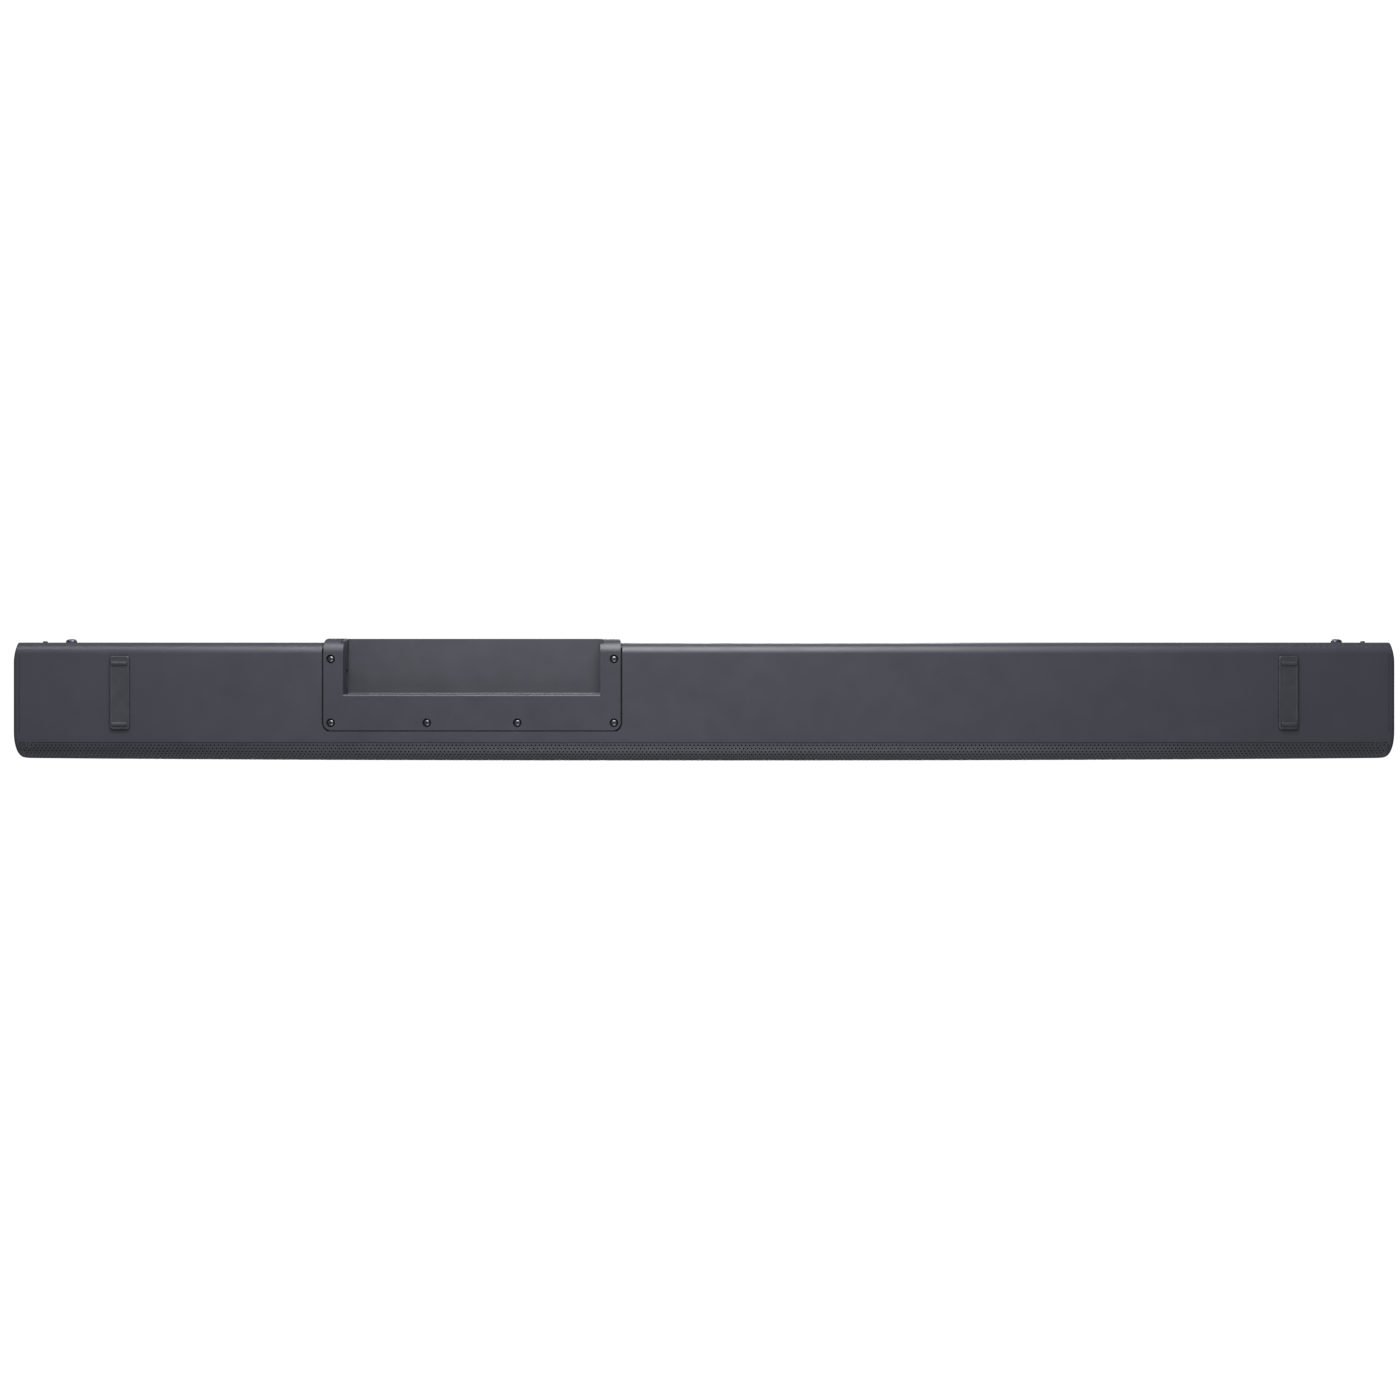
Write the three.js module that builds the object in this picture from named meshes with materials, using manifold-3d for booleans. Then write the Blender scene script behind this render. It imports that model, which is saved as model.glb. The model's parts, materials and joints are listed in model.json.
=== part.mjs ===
// Soundbar for under a television: a long moulded enclosure with a wrapped metal grille, a
// connector bay let into the underside, rubber feet and the loudspeakers and boards inside.
// Millimetres, +Z up. X runs along the bar, the front (grille) faces -Y, the rear faces +Y.
// Right is +X, as a listener in front of the bar sees it.
import * as THREE from 'three';
import { mergeVertices } from 'three/addons/utils/BufferGeometryUtils.js';
import Module from 'manifold-3d';

const wasm = await Module();
wasm.setup();

// ---------- driving dimensions ----------
const HALF_LENGTH = 530; // overall length 1060
const NOSE_Y = -47; // furthest point of the bowed grille
const REAR_Y = 43.8; // rear face of the enclosure
const REAR_REACH = 47; // bay rim and wall screw heads
const FOOT_HEIGHT = 3;
const TOP_Z = 60;
const WALL = 2.5;
const GAP = 0.3; // between neighbouring pieces
const SEAM_GAP = 0.6; // visible shadow gap around the connector bay
const REAR_RADIUS = 9;
const NOSE_START_Y = -26; // where the flat underside starts to curve up
const NOSE_DEPTH = NOSE_START_Y - NOSE_Y;
const NOSE_RISE = 20;
const NOSE_POWER = 3; // 2 would be an ellipse; more is squarer
const GRILLE_EDGE_Y = -33.3;
const GRILLE_SHEET = 1;
const SCRIM_SHEET = 0.4;
const SPLIT_Z = 42; // parting line between the tub and the lid
const CAP_SEAM_X = 524;
const BOW = 1.7; // the front is bowed in plan by this much

const MIDDLE_Z = (FOOT_HEIGHT + TOP_Z) / 2;
const FLOOR_Z = FOOT_HEIGHT + WALL;
const CEILING_Z = TOP_Z - WALL;

// Connector bay
const BAY_X = [63.8, 291.9];
const BAY_FRONT_Y = -24;
const BAY_PROUD = 0.5;
const BAY_FLANGE = 4;
const BAY_TOP_Z = 27;
const CAVITY_X = [79.6, 277.2];
const CAVITY_FRONT_Y = 2.5;
const CAVITY_DEPTH = 20;
const CAVITY_SIDE_DRAFT = 1;
const CAVITY_FRONT_DRAFT = 3;
const BAY_WALL = 2;
const BAY_CORNER = 6; // plan radius of the rim's front corners
const BAY_REAR_CORNER = 3;
const COUNTERBORE = [3.55, 2.4]; // radius and depth round each screw head
const SOCKET_WINDOWS = {
  picture: [[276, 283], [7.2, 22.8], [13.6, 20.6]],
  optical: [[259, 269], [0, 7], [12.2, 20.3]],
  service: [[229.9, 239.5], [0, 7], [15.6, 19.6]],
  mains: [[76, 82], [6.2, 24.8], [9.4, 20.6]],
};
const BAY_SCREWS = [
  [286.7, -18.1],
  [212.9, -18.1],
  [143.4, -18.1],
  [69.2, -18.1],
  [286.7, 30.9],
  [69.2, 30.9],
];
const BAY_FACE_Z = FOOT_HEIGHT - BAY_PROUD;
const FRAME_TOP_Z = BAY_FACE_Z + BAY_FLANGE + GAP + WALL;
const FRAME_LAP = 5.8; // how far the inner frame reaches over the floor around the bay
const CAVITY_TOP_Z = BAY_FACE_Z + CAVITY_DEPTH;

// Boards: [bottom, top] heights, and where their posts stand
const MAIN_BOARD_Z = [20.6, 22.2];
const POWER_BOARD_Z = [12, 13.6];
const RADIO_BOARD_Z = [10, 11.6];
const BUTTON_BOARD_Z = [47, 48.6];
const MAIN_POSTS = [[125, -5], [178, -20], [250, -20], [289.5, -6]];
const POWER_POSTS = [[-122, -12], [-122, 30], [42, -12], [42, 30]];
const RADIO_POSTS = [[-204, 8], [-176, 27]];
const BUTTON_POSTS = [[-44, 2], [-44, 14], [44, 2], [44, 14]];
const POST_RADIUS = 2.5;

// Loudspeakers
const WOOFER_X = 345;
const TWEETER_X = 440;
const BAFFLE_FRONT_Y = -32.5;
const BAFFLE_THICKNESS = 3;

// Buttons, feet and wall fixings
const BUTTON_X = [-33, -11, 11, 33];
const BUTTON_Y = 8;
const BUTTON_RADIUS = 5.5;
const FOOT_X = 448.5;
const FOOT_Y = 5;
const FOOT_SIZE = [15, 56.5];
const FOOT_POCKET = 0.8;
const FOOT_RIDGES = [-24.2, 22.4]; // where the two ridges lie from the pad's centre
const WALL_SCREW_X = 494;
const PIN_X = 514;
const WALL_FIXING_Z = 31;

// ---------- finishes ----------
const SHELL_PLASTIC = { color: 0x45464c, roughness: 0.45, metalness: 0 };
const BAY_PLASTIC = { color: 0x42434a, roughness: 0.5, metalness: 0 };
const GRILLE_METAL = { color: 0x3c3d42, roughness: 0.5, metalness: 0.6 };
const SCRIM_CLOTH = { color: 0x17181a, roughness: 0.95, metalness: 0 };
const FOOT_RUBBER = { color: 0x3d3e42, roughness: 0.8, metalness: 0 };
const DARK_STEEL = { color: 0x2b2b30, roughness: 0.3, metalness: 0.9 };
const BRIGHT_STEEL = { color: 0xa8a9ad, roughness: 0.3, metalness: 0.9 };
const INNER_PLASTIC = { color: 0x1f2023, roughness: 0.6, metalness: 0 };
const BOARD_GREEN = { color: 0x1f4f33, roughness: 0.5, metalness: 0 };
const CONE_PAPER = { color: 0x2a2a2c, roughness: 0.9, metalness: 0 };
const RUBBER = { color: 0x18181a, roughness: 0.7, metalness: 0 };
const FERRITE = { color: 0x3a3a3e, roughness: 0.6, metalness: 0.4 };
const ALUMINIUM = { color: 0x9c9ea2, roughness: 0.4, metalness: 0.9 };
const COPPER_YELLOW = { color: 0xb08a3c, roughness: 0.5, metalness: 0.2 };
const SLEEVE_BLUE = { color: 0x24406b, roughness: 0.4, metalness: 0 };
const DISPLAY_GLASS = { color: 0x101114, roughness: 0.15, metalness: 0 };
const WIRE_RED = { color: 0x7a2420, roughness: 0.6, metalness: 0 };
const WIRE_BLACK = { color: 0x202022, roughness: 0.6, metalness: 0 };

// ---------- solid helpers ----------
function surface(points, faces) {
  const geometry = new THREE.BufferGeometry();
  geometry.setAttribute('position', new THREE.Float32BufferAttribute(points.flat(), 3));
  geometry.setIndex(faces.flat());
  return outward(geometry);
}

// Turns every face over if the closed surface was wound inside out.
function outward(geometry) {
  const p = geometry.attributes.position;
  const index = geometry.index.array;
  const [a, b, c] = [new THREE.Vector3(), new THREE.Vector3(), new THREE.Vector3()];
  let volume = 0;
  for (let i = 0; i < index.length; i += 3) {
    a.fromBufferAttribute(p, index[i]);
    b.fromBufferAttribute(p, index[i + 1]);
    c.fromBufferAttribute(p, index[i + 2]);
    volume += a.dot(b.cross(c));
  }
  if (volume < 0) {
    for (let i = 0; i < index.length; i += 3) {
      [index[i + 1], index[i + 2]] = [index[i + 2], index[i + 1]];
    }
  }
  return geometry;
}

function sides(count, around, closed) {
  const faces = [];
  const spans = closed ? count : count - 1;
  for (let i = 0; i < spans; i += 1) {
    const next = (i + 1) % count;
    for (let j = 0; j < around; j += 1) {
      const k = (j + 1) % around;
      const [a, b] = [i * around + j, i * around + k];
      const [c, d] = [next * around + k, next * around + j];
      faces.push([a, b, c], [a, c, d]);
    }
  }
  return faces;
}

function area(flat, tri) {
  const [a, b, c] = tri.map((i) => flat[i]);
  return (b.x - a.x) * (c.y - a.y) - (c.x - a.x) * (b.y - a.y);
}

// A solid through a row of loops with flat ends; drop is the axis the end faces look along.
function loft(loops, drop) {
  const around = loops[0].length;
  const faces = sides(loops.length, around, false);
  const [u, v] = [0, 1, 2].filter((axis) => axis !== drop);
  for (const end of [0, loops.length - 1]) {
    const flat = loops[end].map((p) => new THREE.Vector2(p[u], p[v]));
    const along = THREE.ShapeUtils.area(flat) > 0;
    for (const tri of THREE.ShapeUtils.triangulateShape(flat, [])) {
      const same = area(flat, tri) > 0 === along;
      const [i, j, k] = same === end > 0 ? tri : [tri[0], tri[2], tri[1]];
      faces.push([i, j, k].map((n) => n + end * around));
    }
  }
  return surface(loops.flat(), faces);
}

// A solid whose cross-section loop runs all the way round, such as a gasket.
function ring(loops) {
  return surface(loops.flat(), sides(loops.length, loops[0].length, true));
}

function block(x, y, z) {
  const geometry = new THREE.BoxGeometry(x[1] - x[0], y[1] - y[0], z[1] - z[0]);
  return geometry.translate((x[0] + x[1]) / 2, (y[0] + y[1]) / 2, (z[0] + z[1]) / 2);
}

// Places [radius, height] circles along an axis: 0, 1 or 2 for X, Y or Z.
function circle(radius, height, axis, centre, segments) {
  const points = [];
  for (let i = 0; i < segments; i += 1) {
    const angle = (2 * Math.PI * i) / segments;
    const [p, q] = [radius * Math.cos(angle), radius * Math.sin(angle)];
    const at = [
      [height, centre[0] + p, centre[1] + q],
      [centre[0] + p, height, centre[1] + q],
      [centre[0] + p, centre[1] + q, height],
    ];
    points.push(at[axis]);
  }
  return points;
}

function turned(profile, axis, centre, segments = 16) {
  return loft(profile.map(([r, h]) => circle(r, h, axis, centre, segments)), axis);
}

function rod(radius, from, to, axis, centre, segments = 12) {
  return turned([[radius, from], [radius, to]], axis, centre, segments);
}

function prismX(profile, x) {
  return loft(x.map((at) => profile.map(([y, z]) => [at, y, z])), 0);
}

function plateZ(outline, z) {
  return loft(z.map((at) => outline.map(([x, y]) => [x, y, at])), 2);
}

function solid(geometry) {
  if (geometry instanceof wasm.Manifold) {
    return geometry;
  }
  const bare = geometry.clone();
  bare.deleteAttribute('normal');
  bare.deleteAttribute('uv');
  const merged = mergeVertices(bare, 1e-4);
  const vertProperties = new Float32Array(merged.attributes.position.array);
  const triVerts = new Uint32Array(merged.index.array);
  return new wasm.Manifold(new wasm.Mesh({ numProp: 3, vertProperties, triVerts }));
}

function join(...parts) {
  return parts.map(solid).reduce((whole, part) => whole.add(part));
}

function cut(base, ...tools) {
  return tools.map(solid).reduce((rest, tool) => rest.subtract(tool), solid(base));
}

function geometryOf(shape) {
  const mesh = solid(shape).getMesh();
  const geometry = new THREE.BufferGeometry();
  geometry.setAttribute('position', new THREE.BufferAttribute(mesh.vertProperties, 3));
  geometry.setIndex(new THREE.BufferAttribute(mesh.triVerts, 1));
  geometry.computeVertexNormals();
  return geometry;
}

const soundbar = new THREE.Group();
soundbar.name = 'soundbar';

function piece(name, shape, finish) {
  const mesh = new THREE.Mesh(geometryOf(shape), new THREE.MeshStandardMaterial(finish));
  mesh.name = name;
  soundbar.add(mesh);
}

// ---------- outline of the enclosure ----------
function arc(centre, radii, from, to, steps) {
  const points = [];
  for (let i = 0; i <= steps; i += 1) {
    const angle = THREE.MathUtils.degToRad(from + ((to - from) * i) / steps);
    points.push([centre[0] + radii[0] * Math.cos(angle), centre[1] + radii[1] * Math.sin(angle)]);
  }
  return points;
}

function mirrorZ(points) {
  return points.map(([y, z]) => [y, 2 * MIDDLE_Z - z]).reverse();
}

// Underside quarter of the nose, a squared-off ellipse: 0 degrees is at the bottom, 90 at the front.
function noseCurve(centre, radii, from, to, steps) {
  const points = [];
  for (let i = 0; i <= steps; i += 1) {
    const angle = THREE.MathUtils.degToRad(from + ((to - from) * i) / steps);
    const [u, v] = [Math.abs(Math.sin(angle)), Math.abs(Math.cos(angle))];
    const size = (u ** NOSE_POWER + v ** NOSE_POWER) ** (-1 / NOSE_POWER);
    points.push([centre[0] - radii[0] * size * u, centre[1] - radii[1] * size * v]);
  }
  return points;
}

// The nose angle at which the grille starts.
const EDGE_REACH = (NOSE_START_Y - GRILLE_EDGE_Y) / NOSE_DEPTH;
const EDGE_ANGLE = THREE.MathUtils.radToDeg(
  Math.atan2(EDGE_REACH, (1 - EDGE_REACH ** NOSE_POWER) ** (1 / NOSE_POWER)),
);
const NOSE_CENTRE = [NOSE_START_Y, FOOT_HEIGHT + NOSE_RISE];

// Half shell from the grille edge, along the underside and up the rear wall to rearTop.
function shellProfile(rearTop) {
  const rearCentre = [REAR_Y - REAR_RADIUS, FOOT_HEIGHT + REAR_RADIUS];
  const inner = REAR_RADIUS - WALL;
  const innerNose = [NOSE_DEPTH - WALL, NOSE_RISE - WALL];
  return [
    ...noseCurve(NOSE_CENTRE, [NOSE_DEPTH, NOSE_RISE], EDGE_ANGLE, 0, 3),
    ...arc(rearCentre, [REAR_RADIUS, REAR_RADIUS], 270, 360, 7),
    [REAR_Y, rearTop],
    [REAR_Y - WALL, rearTop],
    ...arc(rearCentre, [inner, inner], 360, 270, 5),
    ...noseCurve(NOSE_CENTRE, innerNose, 0, EDGE_ANGLE, 3),
  ];
}

// How far the front reaches at a place along the bar: a shallow bow, then a rounded end.
const ROUND_START_X = 516;
const END_REACH = 27.5;
const ROUND_POWER = 2.2;
function frontReach(x) {
  const at = Math.abs(x);
  if (at <= ROUND_START_X) {
    return -NOSE_Y - BOW * (at / ROUND_START_X) ** 2;
  }
  const along = Math.min(1, (at - ROUND_START_X) / (HALF_LENGTH - ROUND_START_X));
  const left = (1 - along ** ROUND_POWER) ** (1 / ROUND_POWER);
  return END_REACH + (-NOSE_Y - BOW - END_REACH) * left;
}

const REAR_TAPER_X = 520;
const REAR_TAPER = 3.8;
function rearDrop(x) {
  const beyond = Math.max(0, Math.abs(x) - REAR_TAPER_X) / (HALF_LENGTH - REAR_TAPER_X);
  return REAR_TAPER * beyond ** 2;
}

// Draws the rear wall in towards the ends of the bar.
function taperedLoop(profile, x) {
  return profile.map(([y, z]) => [x, y > 0 ? y - (rearDrop(x) * y) / REAR_Y : y, z]);
}

const SHELL_STATIONS = [-CAP_SEAM_X, -522, -REAR_TAPER_X, REAR_TAPER_X, 522, CAP_SEAM_X];
function shellLoft(profile) {
  return loft(SHELL_STATIONS.map((x) => taperedLoop(profile, x)), 0);
}

// ---------- enclosure ----------
// The bay's flange in section: flat on the underside, round the rear corner and up the rear.
function flangeProfile(grow) {
  const outer = REAR_RADIUS;
  const inner = REAR_RADIUS - 1;
  const innerZ = BAY_FACE_Z + BAY_FLANGE + grow;
  const innerY = REAR_Y + GAP - grow;
  return [
    [BAY_FRONT_Y - 2 * grow, BAY_FACE_Z - 2 * grow],
    ...arc([REAR_REACH - outer, BAY_FACE_Z + outer - 2 * grow], [outer, outer], 270, 360, 7),
    [REAR_REACH, BAY_TOP_Z + grow],
    [innerY, BAY_TOP_Z + grow],
    ...arc([innerY - inner, innerZ + inner], [inner, inner], 360, 270, 5),
    [BAY_FRONT_Y - 2 * grow, innerZ],
  ];
}

const BAY_BOX_X = [CAVITY_X[0] - BAY_WALL, CAVITY_X[1] + BAY_WALL];
const BAY_BOX_FRONT_Y = CAVITY_FRONT_Y - 2.2;
const BAY_BOX_TOP_Z = CAVITY_TOP_Z + WALL;


// Plan outline of the bay's rim, or of the recess that it lies in when grown.
function bayOutline(grow) {
  const [x0, x1] = [BAY_X[0] - grow, BAY_X[1] + grow];
  const [y0, y1] = [BAY_FRONT_Y - grow, REAR_REACH + grow];
  const [front, rear] = [BAY_CORNER + grow, BAY_REAR_CORNER + grow];
  return [
    ...arc([x0 + front, y0 + front], [front, front], 180, 270, 5),
    ...arc([x1 - front, y0 + front], [front, front], 270, 360, 5),
    ...arc([x1 - rear, y1 - rear], [rear, rear], 0, 90, 3),
    ...arc([x0 + rear, y1 - rear], [rear, rear], 90, 180, 3),
  ];
}

function bayRim(profileGrow, planGrow) {
  const section = prismX(flangeProfile(profileGrow), [BAY_X[0] - 2, BAY_X[1] + 2]);
  return solid(section).intersect(solid(plateZ(bayOutline(planGrow), [0, BAY_TOP_Z + 1])));
}

// What the bay's rim and box need cut out of whatever they pass through.
function bayOpening() {
  const box = block(
    [BAY_BOX_X[0] - GAP, BAY_BOX_X[1] + GAP],
    [BAY_BOX_FRONT_Y - GAP, REAR_REACH],
    [0, BAY_BOX_TOP_Z + GAP],
  );
  return [bayRim(GAP, SEAM_GAP), box];
}

function posts(places, from, to) {
  return places.map(([x, y]) => rod(POST_RADIUS, from, to, 2, [x, y], 10));
}

function bottomShell() {
  const rearBosses = [];
  const rearHoles = [];
  for (const side of [-1, 1]) {
    const screwAt = [side * WALL_SCREW_X, WALL_FIXING_Z];
    const pinAt = [side * PIN_X, WALL_FIXING_Z];
    rearBosses.push(rod(4, 30, REAR_Y - 1, 1, screwAt), rod(3.6, 35, REAR_Y - 1, 1, pinAt));
    rearHoles.push(rod(2.1, 32, REAR_REACH, 1, screwAt), rod(2.2, 37, REAR_REACH, 1, pinAt));
  }
  const half = [FOOT_SIZE[0] / 2 + GAP, FOOT_SIZE[1] / 2 + GAP];
  const pockets = [-FOOT_X, FOOT_X].map((x) =>
    block([x - half[0], x + half[0]], [FOOT_Y - half[1], FOOT_Y + half[1]],
      [0, FOOT_HEIGHT + FOOT_POCKET]));
  return cut(
    join(
      shellLoft(shellProfile(SPLIT_Z)),
      ...posts(POWER_POSTS, FLOOR_Z - 1, POWER_BOARD_Z[0] - GAP),
      ...posts(RADIO_POSTS, FLOOR_Z - 1, RADIO_BOARD_Z[0] - GAP),
      ...rearBosses,
    ),
    ...bayOpening(),
    ...rearHoles,
    ...pockets,
  );
}

// Inner frame bonded to the floor round the opening: takes the bay's screws and the main board.
const FRAME_Y = [-28.8, 36];
const FRAME_ARM_END_Y = 39.5;
function bayFrame() {
  const z = [FLOOR_Z + GAP, FRAME_TOP_Z];
  const lap = block([BAY_X[0] - FRAME_LAP, BAY_X[1] + FRAME_LAP], FRAME_Y, z);
  const arms = block(BAY_X, [FRAME_Y[1] - 1, FRAME_ARM_END_Y], z);
  const bosses = BAY_SCREWS.map(([x, y]) => rod(3.5, FRAME_TOP_Z - 1, 14, 2, [x, y], 10));
  const screwHoles = BAY_SCREWS.map(([x, y]) => rod(1.6, 0, 13, 2, [x, y], 10));
  const plate = cut(join(lap, arms), ...bayOpening());
  const boardPosts = posts(MAIN_POSTS, FRAME_TOP_Z - 1, MAIN_BOARD_Z[0] - GAP);
  return cut(join(plate, ...bosses, ...boardPosts), ...screwHoles);
}

const LIP_X = [-515, 515];
const LIP_FRONT_Y = 39;
function topCover() {
  const lid = shellLoft(mirrorZ(shellProfile(2 * MIDDLE_Z - SPLIT_Z - GAP)));
  // A lip hangs inside the tub's rear wall and is rooted in the lid's own wall above the split.
  const innerFace = REAR_Y - WALL;
  const lip = block(LIP_X, [LIP_FRONT_Y, innerFace - GAP], [SPLIT_Z - 4, SPLIT_Z + 1]);
  const lipRoot = block(LIP_X, [LIP_FRONT_Y, innerFace + 0.5], [SPLIT_Z + 0.5, SPLIT_Z + 2.5]);
  const boardPosts = posts(BUTTON_POSTS, BUTTON_BOARD_Z[1] + GAP, CEILING_Z + 1);
  const holes = BUTTON_X.map((x) =>
    rod(BUTTON_RADIUS + GAP, CEILING_Z - 1, TOP_Z + 1, 2, [x, BUTTON_Y], 16));
  return cut(join(lid, lip, lipRoot, ...boardPosts), ...holes);
}

// Draws the front of a section in from the grille's edge to where the bow and the ends need it.
const GRILLE_ROOT_Y = GRILLE_EDGE_Y - GAP;
function bowed(profile, x) {
  const k = (frontReach(x) + GRILLE_ROOT_Y) / (GRILLE_ROOT_Y - NOSE_Y);
  return profile.map(([y, z]) => [y < GRILLE_ROOT_Y ? GRILLE_ROOT_Y + (y - GRILLE_ROOT_Y) * k : y, z]);
}

function sectionLoop(noseCentre, nose, rear, rearRadius) {
  const low = noseCentre[1] - nose[1];
  const half = [
    ...noseCurve(noseCentre, nose, 90, 0, 7),
    ...arc([rear - rearRadius, low + rearRadius], [rearRadius, rearRadius], 270, 360, 5),
  ];
  return [...half, ...mirrorZ(half)];
}

const END_FILLET = 4;
const END_REAR_RADIUS = 6;
const END_NOSE = [12, NOSE_RISE - END_FILLET];
const CAP_PEGS = [[-8, 20], [-8, 43], [24, 20], [24, 43]];
const CAP_INSETS = [
  [CAP_SEAM_X + GAP, 0],
  [526, 0.02],
  [527.5, 0.3],
  [528.8, 1.14],
  [529.6, 2.25],
  [HALF_LENGTH, END_FILLET],
];

// An end cap's section runs from the bar's own to a smaller, rounder one at the end face.
function capLoop(side, x, inset) {
  const start = CAP_SEAM_X + GAP;
  const bar = bowed(sectionLoop(NOSE_CENTRE, [NOSE_DEPTH, NOSE_RISE], REAR_Y, REAR_RADIUS), start)
    .map(([y, z]) => [y > 0 ? y - (rearDrop(start) * y) / REAR_Y : y, z]);
  const end = sectionLoop([END_NOSE[0] - END_REACH, NOSE_CENTRE[1]], END_NOSE,
    REAR_Y - REAR_TAPER, END_REAR_RADIUS);
  const inward = (frontReach(start) - frontReach(x)) / (frontReach(start) - END_REACH);
  const up = inset / END_FILLET;
  const rearward = (rearDrop(x) - rearDrop(start)) / (REAR_TAPER - rearDrop(start));
  return bar.map(([y, z], i) => {
    const w = y < 0 ? inward : rearward;
    return [side * x, y + (end[i][0] - y) * w, z + (end[i][1] - z) * up];
  });
}

function endCap(side) {
  const skin = loft(CAP_INSETS.map(([x, inset]) => capLoop(side, x, inset)), 0);
  const span = (from, to) => (side > 0 ? [from, to] : [-to, -from]);
  const hollow = block(span(520, 527.4), [-24, 36], [10, 53]);
  const pegs = CAP_PEGS.map(([y, z]) =>
    turned([[2, side * 516], [3, side * 519], [3, side * 528]], 0, [y, z], 10));
  return join(cut(skin, hollow), ...pegs);
}

// ---------- grille and scrim ----------
const BOW_STATIONS = [0, 170, 310, 420, 516, 520, 522.5, CAP_SEAM_X];

function wrappedSheet(outset, thickness, steps, reach) {
  const outer = [NOSE_DEPTH - outset, NOSE_RISE - outset];
  const inner = [outer[0] - thickness, outer[1] - thickness];
  const edge = EDGE_ANGLE + 0.9;
  const low = noseCurve(NOSE_CENTRE, outer, edge, 90, steps);
  const lowInner = noseCurve(NOSE_CENTRE, inner, edge, 90, steps);
  const profile = [...low, ...mirrorZ(low), ...mirrorZ(lowInner).reverse(), ...lowInner.reverse()];
  const along = BOW_STATIONS.filter((x) => x <= reach);
  const stations = [...along.slice(1).map((x) => -x).reverse(), ...along];
  return loft(stations.map((x) => bowed(profile, x).map(([y, z]) => [x, y, z])), 0);
}

// ---------- connector bay ----------
function frustum(low, high) {
  const loop = ([x, y, z]) => [
    [x[0], y[0], z],
    [x[1], y[0], z],
    [x[1], y[1], z],
    [x[0], y[1], z],
  ];
  return loft([loop(low), loop(high)], 2);
}

function connectorBay() {
  const box = block(BAY_BOX_X, [BAY_BOX_FRONT_Y, REAR_REACH - 1], [5, BAY_BOX_TOP_Z]);
  const roof = block(BAY_BOX_X, [REAR_REACH - 6, REAR_REACH], [CAVITY_TOP_Z, BAY_BOX_TOP_Z]);
  const rise = 2;
  const sideRise = (CAVITY_SIDE_DRAFT * rise) / CAVITY_DEPTH;
  const frontRise = (CAVITY_FRONT_DRAFT * rise) / CAVITY_DEPTH;
  const cavity = frustum(
    [[CAVITY_X[0] - sideRise, CAVITY_X[1] + sideRise],
      [CAVITY_FRONT_Y - frontRise, REAR_REACH + 1], BAY_FACE_Z - rise],
    [[CAVITY_X[0] + CAVITY_SIDE_DRAFT, CAVITY_X[1] - CAVITY_SIDE_DRAFT],
      [CAVITY_FRONT_Y + CAVITY_FRONT_DRAFT, REAR_REACH + 1], CAVITY_TOP_Z],
  );
  const screwHoles = BAY_SCREWS.flatMap(([x, y]) => [
    rod(COUNTERBORE[0], 0, BAY_FACE_Z + COUNTERBORE[1], 2, [x, y], 16),
    rod(1.6, 0, 10, 2, [x, y], 10),
  ]);
  const windows = Object.values(SOCKET_WINDOWS).map(([x, y, z]) => block(x, y, z));
  return cut(join(bayRim(0, 0), box, roof), cavity, ...screwHoles, ...windows);
}

// ---------- fasteners, pins and feet ----------
function crossRecess(axis, centre, mouth, depth) {
  const [long, thin] = [1.5, 0.45];
  const span = mouth > depth ? [depth, mouth] : [mouth, depth];
  return [[long, thin], [thin, long]].map(([u, v]) => {
    const across = [[centre[0] - u, centre[0] + u], [centre[1] - v, centre[1] + v]];
    return axis === 2 ? block(across[0], across[1], span) : block(across[0], span, across[1]);
  });
}

function bayScrew(x, y) {
  const face = BAY_FACE_Z + 0.4;
  const body = turned(
    [[1.5, face], [2.3, face + 0.25], [2.7, face + 0.9], [2.7, face + 1.7],
      [1.3, face + 1.7], [1.3, 11.5], [0.4, 12.5]],
    2, [x, y], 12,
  );
  return cut(body, ...crossRecess(2, [x, y], face - 1, face + 0.8));
}

function wallScrew(x) {
  const body = turned(
    [[0.5, 33], [1.8, 34.5], [1.8, REAR_Y + GAP], [4.5, REAR_Y + GAP], [4.5, 45.6],
      [3.7, 46.6], [2.2, REAR_REACH]],
    1, [x, WALL_FIXING_Z], 18,
  );
  return cut(body, ...crossRecess(1, [x, WALL_FIXING_Z], 45.4, REAR_REACH + 1));
}

function locatingPin(x) {
  return turned([[1.5, 38], [1.9, 38.5], [1.9, 45], [1.4, 45.5]], 1, [x, WALL_FIXING_Z], 12);
}

function foot(x) {
  const [halfX, halfY] = [FOOT_SIZE[0] / 2, FOOT_SIZE[1] / 2];
  const outline = (inset) => {
    const r = 1.8 - inset * 0.5;
    const [hx, hy] = [halfX - inset - r, halfY - inset - r];
    return [
      ...arc([x + hx, FOOT_Y + hy], [r, r], 0, 90, 3),
      ...arc([x - hx, FOOT_Y + hy], [r, r], 90, 180, 3),
      ...arc([x - hx, FOOT_Y - hy], [r, r], 180, 270, 3),
      ...arc([x + hx, FOOT_Y - hy], [r, r], 270, 360, 3),
    ];
  };
  const levels = [[0.6, 1], [0, 1.6], [0, FOOT_HEIGHT + FOOT_POCKET - GAP]];
  const pad = loft(levels.map(([inset, z]) => outline(inset).map(([u, v]) => [u, v, z])), 2);
  const ridges = FOOT_RIDGES.map((dy) => {
    const y = FOOT_Y + dy;
    return prismX([[y - 1.4, 0], [y + 1.4, 0], [y + 2, 1.2], [y - 2, 1.2]], [x - 5.8, x + 5.8]);
  });
  return join(pad, ...ridges);
}

// ---------- loudspeakers ----------
const SEMICIRCLE_STEPS = 6;
const NO_STRAIGHT = 0.05;

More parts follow.
